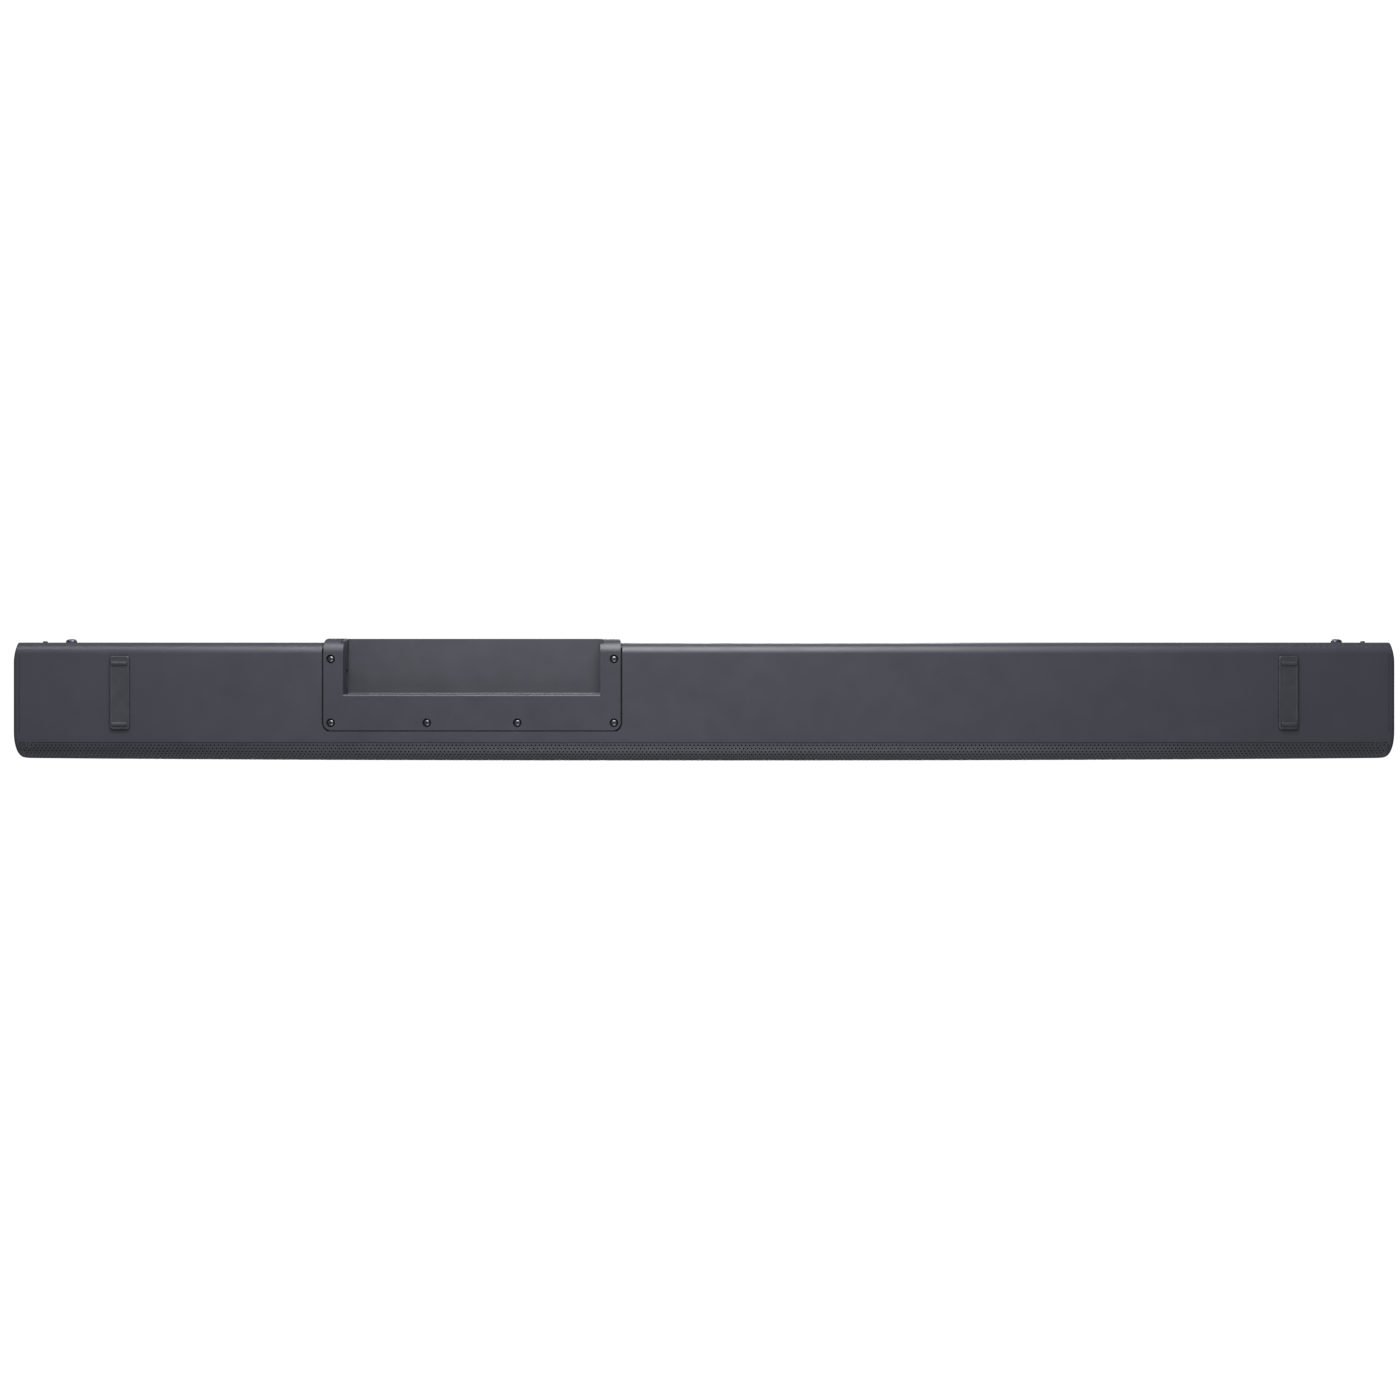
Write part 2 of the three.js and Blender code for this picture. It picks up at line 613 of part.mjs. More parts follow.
// Points round an oval of straight length 2 * half and end radius r, in the X-Z plane.
function ovalLoop(r, half, y, x) {
  const points = [];
  for (const [end, start] of [[half, -90], [-half, 90]]) {
    for (const [u, v] of arc([end, 0], [r, r], start, start + 180, SEMICIRCLE_STEPS)) {
      points.push([x + u, y, MIDDLE_Z + v]);
    }
  }
  return points;
}

// Sweeps a closed profile of [r, half, y] round the oval.
function ovalRing(profile, x) {
  return ring(profile.map(([r, half, y]) => ovalLoop(r, half, y, x)));
}

function roundRing(profile, x, segments) {
  return ring(profile.map(([r, y]) => circle(r, y, 1, [x, MIDDLE_Z], segments)));
}

const BASKET_BACK_Y = -11.5;
function wooferFrame(x) {
  const frame = ovalRing(
    [[23, 32, -34.8], [23, 32, -32.8], [19.6, 32, -32.8], [19.6, 32, -27],
      [21, NO_STRAIGHT, -14], [21, NO_STRAIGHT, BASKET_BACK_Y], [12, NO_STRAIGHT, BASKET_BACK_Y],
      [12, NO_STRAIGHT, -13], [19, NO_STRAIGHT, -14.5], [18.2, 32, -27], [18.2, 32, -34.8]],
    x,
  );
  const windows = [
    block([x - 20, x - 5], [-24.5, -16], [0, TOP_Z]),
    block([x + 5, x + 20], [-24.5, -16], [0, TOP_Z]),
    block([x - 50, x + 50], [-24.5, -17], [MIDDLE_Z - 7, MIDDLE_Z + 7]),
  ];
  return cut(frame, ...windows);
}

function wooferMagnet(x) {
  const front = BASKET_BACK_Y + GAP;
  return roundRing(
    [[18, front], [18, -8.2], [20, -8.2], [20, 2], [18.5, 2], [18.5, 6], [2.5, 6],
      [2.5, front], [9.2, front], [9.2, 1.5], [10.8, 1.5], [10.8, front]],
    x, 16,
  );
}

function wooferCone(x) {
  const cone = ovalRing(
    [[12.5, 28, -31.9], [11, 26.5, -31.9], [9.7, NO_STRAIGHT, -22.8], [9.7, NO_STRAIGHT, -4],
      [10.2, NO_STRAIGHT, -4], [10.2, NO_STRAIGHT, -21.6], [11.4, 26.5, -31.1],
      [12.5, 28, -31.1]],
    x,
  );
  const cap = turned(
    [[0.5, -26.4], [5, -25.8], [8.6, -23.8], [9.9, -22.2], [9.9, -22.8], [9, -24.4],
      [5.2, -26.5], [0.5, -27.1]],
    1, [x, MIDDLE_Z], 12,
  );
  return join(cone, cap);
}

function wooferSurround(x) {
  const front = [[22.6, 32, -35.7], [18.4, 32, -35.7], [17.4, 31.4, -37.6],
    [15.6, 30.2, -38.4], [13.8, 29, -37.4], [12.8, 28.2, -34.2], [12.3, 28, -32.8],
    [10.4, 28, -32.8]];
  const back = front.map(([r, half, y]) => [r, half, y + 0.6]).reverse();
  return ovalRing([...front, ...back], x);
}

function tweeter(x) {
  return turned(
    [[0.5, -31], [12.8, -31], [12.8, -33.4], [20, -34.8], [22, -34.8], [22, -32.8],
      [16.5, -32.8], [16.5, -12], [0.5, -12]],
    1, [x, MIDDLE_Z], 14,
  );
}

function tweeterDome(x) {
  return turned(
    [[0.5, -31.3], [12.4, -31.3], [12.4, -31.9], [10, -32.1], [8.6, -34.2], [5.4, -35.8],
      [0.5, -36.5]],
    1, [x, MIDDLE_Z], 14,
  );
}

function frontBaffle() {
  const y = [BAFFLE_FRONT_Y, BAFFLE_FRONT_Y + BAFFLE_THICKNESS];
  const slab = block([-519, 519], y, [7.2, 55.8]);
  const ribs = [12, 51].map((z) => block([-280, 280], [y[1] - 0.5, y[1] + 3], [z - 1, z + 1]));
  const wooferHoles = [-WOOFER_X, WOOFER_X].map((x) =>
    loft([ovalLoop(20, 32, y[0] - 1, x), ovalLoop(20, 32, y[1] + 1, x)], 1));
  const tweeterHoles = [-TWEETER_X, TWEETER_X].map((x) =>
    rod(17, y[0] - 1, y[1] + 1, 1, [x, MIDDLE_Z], 18));
  const displayHole = block([-35, 35], [y[0] - 1, y[1] + 1], [24, 39]);
  const receiverHole = rod(3.4, y[0] - 1, y[1] + 1, 1, [50, MIDDLE_Z], 12);
  return cut(join(slab, ...ribs), ...wooferHoles, ...tweeterHoles, displayHole, receiverHole);
}

// ---------- controls and display ----------
function button(x) {
  return turned(
    [[0.6, TOP_Z - 0.35], [4.6, TOP_Z], [5.1, TOP_Z], [BUTTON_RADIUS, TOP_Z - 0.4],
      [BUTTON_RADIUS, CEILING_Z - GAP - 0.2], [6.8, CEILING_Z - GAP - 0.2], [6.8, 55.7],
      [2, 55.7], [2, 52.4]],
    2, [x, BUTTON_Y], 16,
  );
}

function buttonBoard() {
  const board = block([-48, 48], [-2, 18], BUTTON_BOARD_Z);
  const switches = BUTTON_X.flatMap((x) => [
    block([x - 3, x + 3], [BUTTON_Y - 3, BUTTON_Y + 3], [48, 50.6]),
    rod(1.7, 50, 51.4, 2, [x, BUTTON_Y], 10),
  ]);
  return join(board, ...switches);
}

function statusDisplay() {
  return join(
    block([-33.5, 33.5], [-40, -28], [25.5, 37.5]),
    block([-42, 42], [-29.2, -27.6], [20, 43]),
  );
}

function remoteReceiver() {
  const lens = turned([[0.8, -38], [2.2, -37.4], [3, -36], [3, -28]], 1, [50, MIDDLE_Z], 12);
  return join(lens, block([45.5, 54.5], [-29.2, -27.6], [26, 37]));
}

// ---------- boards and what stands on them ----------
function mainBoard() {
  const chips = [
    [[135, 147], [-18, -6]],
    [[206, 226], [-20, -8]],
    [[240, 252], [-14, -6]],
  ].map(([x, y]) => block(x, y, [22, 24.2]));
  return join(
    block([118, 282], [-25, -0.2], MAIN_BOARD_Z),
    block([279.8, 296], [-25, 24], MAIN_BOARD_Z),
    ...chips,
  );
}

function heatSink(x, y, base, top, fins) {
  const plate = block(x, y, [base, base + 3]);
  const pitch = (x[1] - x[0] - 2) / (fins - 1);
  const blades = [];
  for (let i = 0; i < fins; i += 1) {
    const left = x[0] + i * pitch;
    blades.push(block([left, left + 2], y, [base + 1, top]));
  }
  return join(plate, ...blades);
}

function powerBoard() {
  const parts = [
    block([-20, -8], [-10, 6], [13, 22]),
    block([-112, -100], [24, 33], [13, 20]),
    block([42, 49], [4, 26], [13, 19]),
  ];
  return join(block([-130, 50], [-18, 36], POWER_BOARD_Z), ...parts);
}

function transformer() {
  const low = POWER_BOARD_Z[1] + GAP;
  return join(
    block([-62, -26], [-4, 22], [low + 4, low + 24]),
    block([-56, -32], [-9, 27], [low, low + 28]),
  );
}

function capacitor(x, y) {
  const low = POWER_BOARD_Z[1] + GAP;
  return turned(
    [[8, low], [8.8, low + 0.8], [8.8, low + 3], [8.2, low + 3.6], [8.8, low + 4.2],
      [8.8, low + 29], [8, low + 30]],
    2, [x, y], 12,
  );
}

function wirelessModule() {
  return join(
    block([-212, -168], [4, 31], RADIO_BOARD_Z),
    block([-206, -184], [8, 26], [11, 14]),
  );
}

function wire(points, radius) {
  const curve = new THREE.CatmullRomCurve3(points.map((p) => new THREE.Vector3(...p)));
  const round = new THREE.Shape(
    arc([0, 0], [radius, radius], 0, 300, 5).map(([u, v]) => new THREE.Vector2(u, v)),
  );
  const options = { steps: 3 * points.length, extrudePath: curve, bevelEnabled: false };
  return new THREE.ExtrudeGeometry(round, options);
}

// ---------- sockets ----------
function acInlet() {
  const [y, z] = [15.5, 15];
  const body = block([57, 79.3], [6.5, 24.5], [9.7, 20.3]);
  const mouth = block([67.3, 81], [y - 7.3, y + 7.3], [z - 4.3, z + 4.3]);
  const pins = [-4.3, 4.3].map((dy) => rod(1.2, 66, 77.3, 0, [y + dy, z], 10));
  return join(cut(body, mouth), ...pins);
}

function hdmiSocket() {
  const shell = block([277.6, 291], [7.5, 22.5], [14.2, 20.2]);
  const mouth = block([270, 288], [8.1, 21.9], [14.8, 19.4]);
  const tongue = block([278.6, 289], [9.6, 20.4], [16.7, 17.6]);
  return join(cut(shell, mouth), tongue);
}

function opticalSocket() {
  const body = block([259.3, 268.7], [-12, 3.4], [12.5, 20]);
  return cut(body, block([260.3, 267.7], [-6, 5], [13.3, 19.3]));
}

function opticalShutter() {
  return block([260.6, 267.4], [2, 2.8], [13.6, 19]);
}

function usbSocket() {
  const body = block([230.2, 239.2], [-6, 3.6], [15.9, 19.3]);
  const mouth = block([230.6, 238.8], [-4, 5], [16.3, 18.9]);
  const tongue = block([231.6, 237.8], [-5, 2.6], [17.3, 17.9]);
  return join(cut(body, mouth), tongue);
}

// ---------- the pieces ----------
piece('bottom_shell', bottomShell(), SHELL_PLASTIC);
piece('top_cover', topCover(), SHELL_PLASTIC);
piece('end_cap_left', endCap(-1), SHELL_PLASTIC);
piece('end_cap_right', endCap(1), SHELL_PLASTIC);
piece('front_grille', wrappedSheet(0, GRILLE_SHEET, 7, CAP_SEAM_X), GRILLE_METAL);
piece('grille_scrim', wrappedSheet(GRILLE_SHEET + GAP, SCRIM_SHEET, 4, 516), SCRIM_CLOTH);
piece('front_baffle', frontBaffle(), INNER_PLASTIC);
piece('connector_bay', connectorBay(), BAY_PLASTIC);
piece('bay_frame', bayFrame(), INNER_PLASTIC);

BAY_SCREWS.forEach(([x, y], i) => piece(`bay_screw_${i + 1}`, bayScrew(x, y), DARK_STEEL));

const SIDES = [['left', -1], ['right', 1]];
for (const [side, sign] of SIDES) {
  piece(`wall_screw_${side}`, wallScrew(sign * WALL_SCREW_X), DARK_STEEL);
  piece(`locating_pin_${side}`, locatingPin(sign * PIN_X), DARK_STEEL);
  piece(`foot_${side}`, foot(sign * FOOT_X), FOOT_RUBBER);
  piece(`woofer_${side}_frame`, wooferFrame(sign * WOOFER_X), INNER_PLASTIC);
  piece(`woofer_${side}_magnet`, wooferMagnet(sign * WOOFER_X), FERRITE);
  piece(`woofer_${side}_cone`, wooferCone(sign * WOOFER_X), CONE_PAPER);
  piece(`woofer_${side}_surround`, wooferSurround(sign * WOOFER_X), RUBBER);
  piece(`tweeter_${side}`, tweeter(sign * TWEETER_X), INNER_PLASTIC);
  piece(`tweeter_${side}_dome`, tweeterDome(sign * TWEETER_X), CONE_PAPER);
}

const BUTTON_NAMES = ['power', 'volume_down', 'volume_up', 'source'];
BUTTON_NAMES.forEach((name, i) => piece(`button_${name}`, button(BUTTON_X[i]), SHELL_PLASTIC));
piece('button_board', buttonBoard(), BOARD_GREEN);
piece('status_display', statusDisplay(), DISPLAY_GLASS);
piece('remote_receiver', remoteReceiver(), DISPLAY_GLASS);

piece('main_board', mainBoard(), BOARD_GREEN);
piece('amplifier_heat_sink', heatSink([152, 200], [-22, -4], 22.5, 38, 7), ALUMINIUM);
piece('power_board', powerBoard(), BOARD_GREEN);
piece('power_heat_sink', heatSink([0, 38], [-2, 28], 13.9, 38, 5), ALUMINIUM);
piece('transformer', transformer(), COPPER_YELLOW);
piece('capacitor_1', capacitor(-86, -6), SLEEVE_BLUE);
piece('capacitor_2', capacitor(-86, 16), SLEEVE_BLUE);
piece('wireless_module', wirelessModule(), BOARD_GREEN);

piece('ac_inlet', acInlet(), INNER_PLASTIC);
piece('hdmi_socket', hdmiSocket(), BRIGHT_STEEL);
piece('optical_socket', opticalSocket(), INNER_PLASTIC);
piece('optical_shutter', opticalShutter(), INNER_PLASTIC);
piece('usb_socket', usbSocket(), BRIGHT_STEEL);

piece('speaker_wire_left', wire([[122, -12, 24], [116, -6, 33], [86, 20, 36], [40, 35, 36],
  [-140, 35, 34], [-290, 22, 34], [-321, -12, 34]], 1.5), WIRE_RED);
piece('speaker_wire_right', wire([[262, -12, 24], [268, -10, 34], [292, 10, 38],
  [318, 8, 36], [320, -12, 34]], 1.5), WIRE_RED);
piece('tweeter_wire_left', wire([[-370, 6, 34], [-400, 12, 34], [-430, 4, 33],
  [-438, -11, 32]], 1.2), WIRE_BLACK);
piece('tweeter_wire_right', wire([[370, 6, 34], [400, 12, 34], [430, 4, 33],
  [438, -11, 32]], 1.2), WIRE_BLACK);
piece('power_lead', wire([[46, 32, 15.5], [48, 28, 22], [66, 0, 26], [100, -15, 26.5],
  [128, -20, 24]], 1.6), WIRE_BLACK);

export default soundbar;
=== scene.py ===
"""Soundbar seen from below: detailed shells, grille, bay, screws, feet and buttons on the CAD frame."""

import json
import math

import bmesh
import bpy
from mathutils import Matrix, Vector


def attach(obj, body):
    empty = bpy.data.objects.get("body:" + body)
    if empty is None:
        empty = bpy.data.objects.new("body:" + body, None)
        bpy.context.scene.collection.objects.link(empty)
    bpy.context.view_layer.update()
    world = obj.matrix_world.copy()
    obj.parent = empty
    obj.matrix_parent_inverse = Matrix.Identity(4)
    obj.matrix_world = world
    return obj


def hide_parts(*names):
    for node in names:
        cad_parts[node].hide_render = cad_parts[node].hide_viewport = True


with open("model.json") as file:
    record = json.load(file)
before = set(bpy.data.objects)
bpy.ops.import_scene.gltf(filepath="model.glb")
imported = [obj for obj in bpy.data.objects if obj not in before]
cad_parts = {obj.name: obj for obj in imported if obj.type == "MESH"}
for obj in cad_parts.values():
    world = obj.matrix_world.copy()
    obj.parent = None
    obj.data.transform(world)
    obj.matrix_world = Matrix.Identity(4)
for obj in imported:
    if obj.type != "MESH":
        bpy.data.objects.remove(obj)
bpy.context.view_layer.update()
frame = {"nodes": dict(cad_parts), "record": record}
NODES = frame["nodes"]
MM = 0.001

# ---------- dimensions, in millimetres ----------
HALF_LENGTH = 531.2
NOSE_Y = -47.7  # furthest point of the bowed grille
REAR_Y = 43.8  # rear face of the enclosure
REAR_REACH = 47  # bay rim and wall screw heads
FOOT_HEIGHT = 3
TOP_Z = 60
MIDDLE_Z = (FOOT_HEIGHT + TOP_Z) / 2
WALL = 2.5
GAP = 0.3  # between neighbouring pieces
REAR_RADIUS = 9
NOSE_CENTRE = (-26, 23)  # where the flat underside starts to curve up
NOSE_SIZE = (NOSE_CENTRE[0] - NOSE_Y, NOSE_CENTRE[1] - FOOT_HEIGHT)
NOSE_POWER = 3  # 2 would be an ellipse; more is squarer
SPLIT_Z = 42  # parting line between the tub and the lid
SHELL_EDGE = 0.35  # softened edges of the tub and the lid
BOW = 2.05  # the front is bowed in plan by this much
BOW_POWER = 2.4

# Ends: straight across the middle in plan, then swept back to the front and the rear
CAP_SEAM_X = 525.5
CAP_START_X = CAP_SEAM_X + GAP
END_FLAT = {"front": 33, "rear": 31}  # how far the straight middle reaches each way
END_SWEEP = {"front": 26, "rear": 32}  # radius of each sweep
CORNER_POWER = 28  # how sharply the sweep turns into the bow
CORNER_REACH = 16  # the turn is over this far in from the end
END_FILLET = 4  # between the end face and the long faces
END_NOSE = (12, 16)  # nose of the rounder section at the end face
END_REAR_RADIUS = 6

# Grille
GRILLE_EDGE_Y = -33.3
GRILLE_ROOT_Y = GRILLE_EDGE_Y - GAP
GRILLE_START = 0.9  # degrees round the nose between the tub's edge and the sheet's
PITCH_X = 3.05
PITCH_ROW = 2.64
HOLE_RADIUS = 0.68
HOLE_DEPTH = 0.7
SHEET = 1.0
EDGE_BORDER = 0.5  # plain strip along each long edge
END_BORDER = 1.6  # and at each end
HEM = ((0.36, 0.0), (0.12, 0.07), (0.0, 0.36), (0.0, SHEET))  # [along, depth] at each long edge

# Connector bay
BAY_X = (64.1, 292.2)
BAY_FRONT_Y = -24
BAY_FACE_Z = 2.5
BAY_FLANGE = 4
BAY_TOP_Z = 27
SEAM_GAP = 1.3  # visible shadow gap around the bay
SEAM_CORNER = 6
SEAM_REAR_CORNER = 3
FLANGE_RADIUS = 11.6
CAVITY_X = (79.6, 277.2)
CAVITY_WALL_Y = 4
CAVITY_TOP_Z = 22.5
CAVITY_CEILING_Z = (20.6, 23.6)  # front and rear: the ceiling leans a little to the rear
CAVITY_LIP = 1.8  # rounded edge where the plate turns into the front wall
CAVITY_FILLET = 1.2  # between the front wall and the ceiling
CAVITY_SIDE_DRAFT = 1
BAY_WALL = 2
BAY_BOX_X = (CAVITY_X[0] - BAY_WALL, CAVITY_X[1] + BAY_WALL)
BAY_BOX_Y = (0.3, REAR_REACH - 1)
BAY_BOX_Z = (5, 25)
BAY_ROOF_Y = (REAR_REACH - 6, REAR_REACH)  # the box's roof goes on to the rim's rear
SOCKET_WINDOWS = {
    "picture": ((276, 283), (7.2, 22.8), (13.6, 20.6)),
    "optical": ((259, 269), (0, 7), (12.2, 20.3)),
    "service": ((229.9, 239.5), (0, 7), (15.6, 19.6)),
    "mains": ((76, 82), (6.2, 24.8), (9.4, 20.6)),
}
BAY_SCREWS = [
    (286.7, -18.1),
    (212.9, -18.1),
    (143.4, -18.1),
    (69.2, -18.1),
    (286.7, 30.9),
    (69.2, 30.9),
]
COUNTERBORE = (3.4, 2.4)  # radius and depth round each screw head
BAY_SCREW_HOLE = (1.6, 10)  # radius, and how high it reaches

# Buttons, feet and wall fixings
BUTTONS = {"power": -33, "volume_down": -11, "volume_up": 11, "source": 33}
BUTTON_Y = 8
BUTTON_RADIUS = 5.5
BUTTON_EDGE = 0.45
LEGEND_BASE_Z = 59.6  # legends start just under the button's dish
FOOT_X = 448.5
FOOT_Y = 5
FOOT_SIZE = (15, 56.5)
FOOT_GAP = 0.12
FOOT_POCKET = 0.8
FOOT_RIDGES = (-24.2, 22.4)  # where the two ridges lie from the pad's centre
RIDGE_SIZE = (1.5, 1.0)  # half width and height
WALL_SCREW_X = 494.3
WALL_SCREW_HOLE = (2.1, 32)  # radius, and where it starts
PIN_X = 515
PIN_HOLE = (2.2, 37)
WALL_FIXING_Z = 31
SIDES = {"left": -1, "right": 1}


# ---------- curves ----------
def arc(centre, radii, start, end, steps):
    """Points on an ellipse's arc, angles in degrees."""
    out = []
    for i in range(steps + 1):
        a = math.radians(start + (end - start) * i / steps)
        out.append((centre[0] + radii[0] * math.cos(a), centre[1] + radii[1] * math.sin(a)))
    return out


def nose_point(centre, size, angle):
    """A point on the squared-off nose: 0 degrees at the bottom, 90 at the front."""
    a = math.radians(angle)
    u, v = abs(math.sin(a)), abs(math.cos(a))
    k = (u**NOSE_POWER + v**NOSE_POWER) ** (-1 / NOSE_POWER)
    return centre[0] - size[0] * k * u, centre[1] - size[1] * k * v


def nose_curve(centre, size, start, end, steps):
    return [nose_point(centre, size, start + (end - start) * i / steps) for i in range(steps + 1)]


def mirror_z(points):
    return [(y, 2 * MIDDLE_Z - z) for y, z in reversed(points)]


# The angle round the nose at which the grille starts.
EDGE_REACH = (NOSE_CENTRE[0] - GRILLE_EDGE_Y) / NOSE_SIZE[0]
EDGE_RISE = (1 - EDGE_REACH**NOSE_POWER) ** (1 / NOSE_POWER)
EDGE_ANGLE = math.degrees(math.atan2(EDGE_REACH, EDGE_RISE))


def end_sweep(x, towards):
    """How far the curved end of the bar reaches towards its front or rear."""
    along = HALF_LENGTH - abs(x)
    return END_FLAT[towards] + math.sqrt(max(0, along * (2 * END_SWEEP[towards] - along)))


def front_reach(x):
    """The front's shallow bow, which turns into the end's sweep."""
    bow = -NOSE_Y - BOW * (abs(x) / HALF_LENGTH) ** BOW_POWER
    if HALF_LENGTH - abs(x) > CORNER_REACH:
        return bow
    sweep = end_sweep(x, "front")
    return (sweep**-CORNER_POWER + bow**-CORNER_POWER) ** (-1 / CORNER_POWER)


def rear_reach(x):
    return min(REAR_Y, end_sweep(x, "rear"))


def bowed(y, x):
    """Where a point of the straight section lies once the front is bowed in plan."""
    if y >= GRILLE_ROOT_Y:
        return y
    k = (front_reach(x) + GRILLE_ROOT_Y) / (GRILLE_ROOT_Y - NOSE_Y)
    return GRILLE_ROOT_Y + (y - GRILLE_ROOT_Y) * k


# ---------- mesh helpers ----------
def loft(loops):
    """Quads between loops of 3-D points, with a flat face at each end."""
    n = len(loops[0])
    verts = [p for loop in loops for p in loop]
    faces = []
    for i in range(len(loops) - 1):
        for j in range(n):
            k = (j + 1) % n
            faces.append((i * n + j, i * n + k, (i + 1) * n + k, (i + 1) * n + j))
    faces.append(tuple(reversed(range(n))))
    faces.append(tuple(range((len(loops) - 1) * n, len(loops) * n)))
    return verts, faces


def block(x, y, z):
    """A box between two values of each axis."""
    return loft([[(a, y[0], z[0]), (a, y[1], z[0]), (a, y[1], z[1]), (a, y[0], z[1])] for a in x])


def ring_points(radius, height, axis, centre, segments):
    out = []
    for i in range(segments):
        a = 2 * math.pi * i / segments
        p, q = radius * math.cos(a), radius * math.sin(a)
        out.append(
            (
                (height, centre[0] + p, centre[1] + q),
                (centre[0] + p, height, centre[1] + q),
                (centre[0] + p, centre[1] + q, height),
            )[axis]
        )
    return out


def turned(profile, axis, centre, segments):
    """A solid of revolution from a profile of (radius, distance along the axis)."""
    return loft([ring_points(r, h, axis, centre, segments) for r, h in profile])


def prism_x(profile, stations):
    return loft([[(x, y, z) for y, z in profile] for x in stations])


def plate_z(outline, heights):
    return loft([[(x, y, z) for x, y in outline] for z in heights])


def rounded_outline(x, y, radius, steps):
    corners = (
        ((x[1] - radius, y[1] - radius), 0),
        ((x[0] + radius, y[1] - radius), 90),
        ((x[0] + radius, y[0] + radius), 180),
        ((x[1] - radius, y[0] + radius), 270),
    )
    out = []
    for centre, start in corners:
        out += arc(centre, (radius, radius), start, start + 90, steps)
    return out


def new_object(name, *solids):
    """One object from closed solids given in millimetres."""
    verts, faces = [], []
    for solid_verts, solid_faces in solids:
        base = len(verts)
        verts += [(x * MM, y * MM, z * MM) for x, y, z in solid_verts]
        faces += [tuple(i + base for i in face) for face in solid_faces]
    mesh = bpy.data.meshes.new(name)
    mesh.from_pydata(verts, [], faces)
    edit = bmesh.new()
    edit.from_mesh(mesh)
    bmesh.ops.recalc_face_normals(edit, faces=edit.faces)
    edit.to_mesh(mesh)
    edit.free()
    obj = bpy.data.objects.new(name, mesh)
    bpy.context.collection.objects.link(obj)
    return obj


def bake_modifiers(obj):
    graph = bpy.context.evaluated_depsgraph_get()
    mesh = bpy.data.meshes.new_from_object(obj.evaluated_get(graph), depsgraph=graph)
    obj.modifiers.clear()
    obj.data = mesh


def combine(obj, operation, *tools):
    """Cuts solids or objects from an object, or joins them to it, one after another."""
    for tool in tools:
        if isinstance(tool, tuple):
            tool = new_object("tool", tool)
        step = obj.modifiers.new("combine", "BOOLEAN")
        step.object = tool
        step.operation = operation
        step.solver = "EXACT"
        bake_modifiers(obj)
        bpy.data.objects.remove(tool)


def soften(obj, width, angle=35, segments=2):
    """Small rounded edges where faces meet sharply, if a width is given, and smooth shading."""
    if width:
        bevel = obj.modifiers.new("bevel", "BEVEL")
        bevel.width = width * MM
        bevel.segments = segments
        bevel.limit_method = "ANGLE"
        bevel.angle_limit = math.radians(angle)
        bevel.miter_outer = "MITER_ARC"
        bake_modifiers(obj)
    obj.data.shade_smooth()
    obj.data.set_sharp_from_angle(angle=math.radians(32))
    weigh = obj.modifiers.new("normals", "WEIGHTED_NORMAL")
    weigh.keep_sharp = True
    bake_modifiers(obj)


def place(obj, body, slot, material, *replaced):
    """Gives a finished piece its material and its body, and hides the CAD nodes it stands for."""
    obj.data.materials.clear()
    obj.data.materials.append(material)
    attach(obj, body)
    if replaced:
        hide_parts(*replaced)


# ---------- materials ----------
class Recipe:
    """A Principled material built up node by node in object space."""

    def __init__(self, name, metallic=0.0, specular=0.5, coat=0.0, sheen=0.0):
        self.material = bpy.data.materials.new(name)
        self.material.use_nodes = True
        self.tree = self.material.node_tree
        self.shader = self.tree.nodes["Principled BSDF"]
        self.shader.inputs["Metallic"].default_value = metallic
        self.shader.inputs["Specular IOR Level"].default_value = specular
        self.shader.inputs["Coat Weight"].default_value = coat
        self.shader.inputs["Sheen Weight"].default_value = sheen
        self.coords = self.tree.nodes.new("ShaderNodeTexCoord").outputs["Object"]

    def node(self, kind, **values):
        made = self.tree.nodes.new(kind)
        for key, value in values.items():
            if hasattr(made, key):
                setattr(made, key, value)
            else:
                made.inputs[key.replace("_", " ")].default_value = value
        return made

    def link(self, source, target):
        self.tree.links.new(source, target)

    def noise(self, scale, detail, stretch):
        mapping = self.node("ShaderNodeMapping")
        mapping.inputs["Scale"].default_value = stretch
        self.link(self.coords, mapping.inputs["Vector"])
        made = self.node("ShaderNodeTexNoise", Scale=scale, Detail=detail)
        self.link(mapping.outputs["Vector"], made.inputs["Vector"])
        return made.outputs["Fac"]

    def ranged(self, value, low, high):
        """Spreads the middle of a noise value over a range."""
        made = self.node("ShaderNodeMapRange")
        made.inputs["From Min"].default_value = 0.3
        made.inputs["From Max"].default_value = 0.7
        made.inputs["To Min"].default_value = low
        made.inputs["To Max"].default_value = high
        self.link(value, made.inputs["Value"])
        return made.outputs["Result"]

    def colour(self, base, spread, scale, detail, stretch=(1, 1, 1)):
        """The base colour with soft patches a little darker and lighter."""
        ramp = self.node("ShaderNodeValToRGB")
        ramp.color_ramp.elements[0].position = 0.3
        ramp.color_ramp.elements[1].position = 0.7
        ramp.color_ramp.elements[0].color = [c * (1 - spread) for c in base] + [1]
        ramp.color_ramp.elements[1].color = [c * (1 + spread) for c in base] + [1]
        self.link(self.noise(scale, detail, stretch), ramp.inputs["Fac"])
        self.link(ramp.outputs["Color"], self.shader.inputs["Base Color"])

    def roughness(self, low, high, scale, detail, stretch=(1, 1, 1)):
        value = self.ranged(self.noise(scale, detail, stretch), low, high)
        self.link(value, self.shader.inputs["Roughness"])

    def bump(self, scale, depth_mm, detail=2.0, stretch=(1, 1, 1)):
        made = self.node("ShaderNodeBump", Strength=1.0, Distance=depth_mm * MM)
        self.link(self.noise(scale, detail, stretch), made.inputs["Height"])
        self.link(made.outputs["Normal"], self.shader.inputs["Normal"])


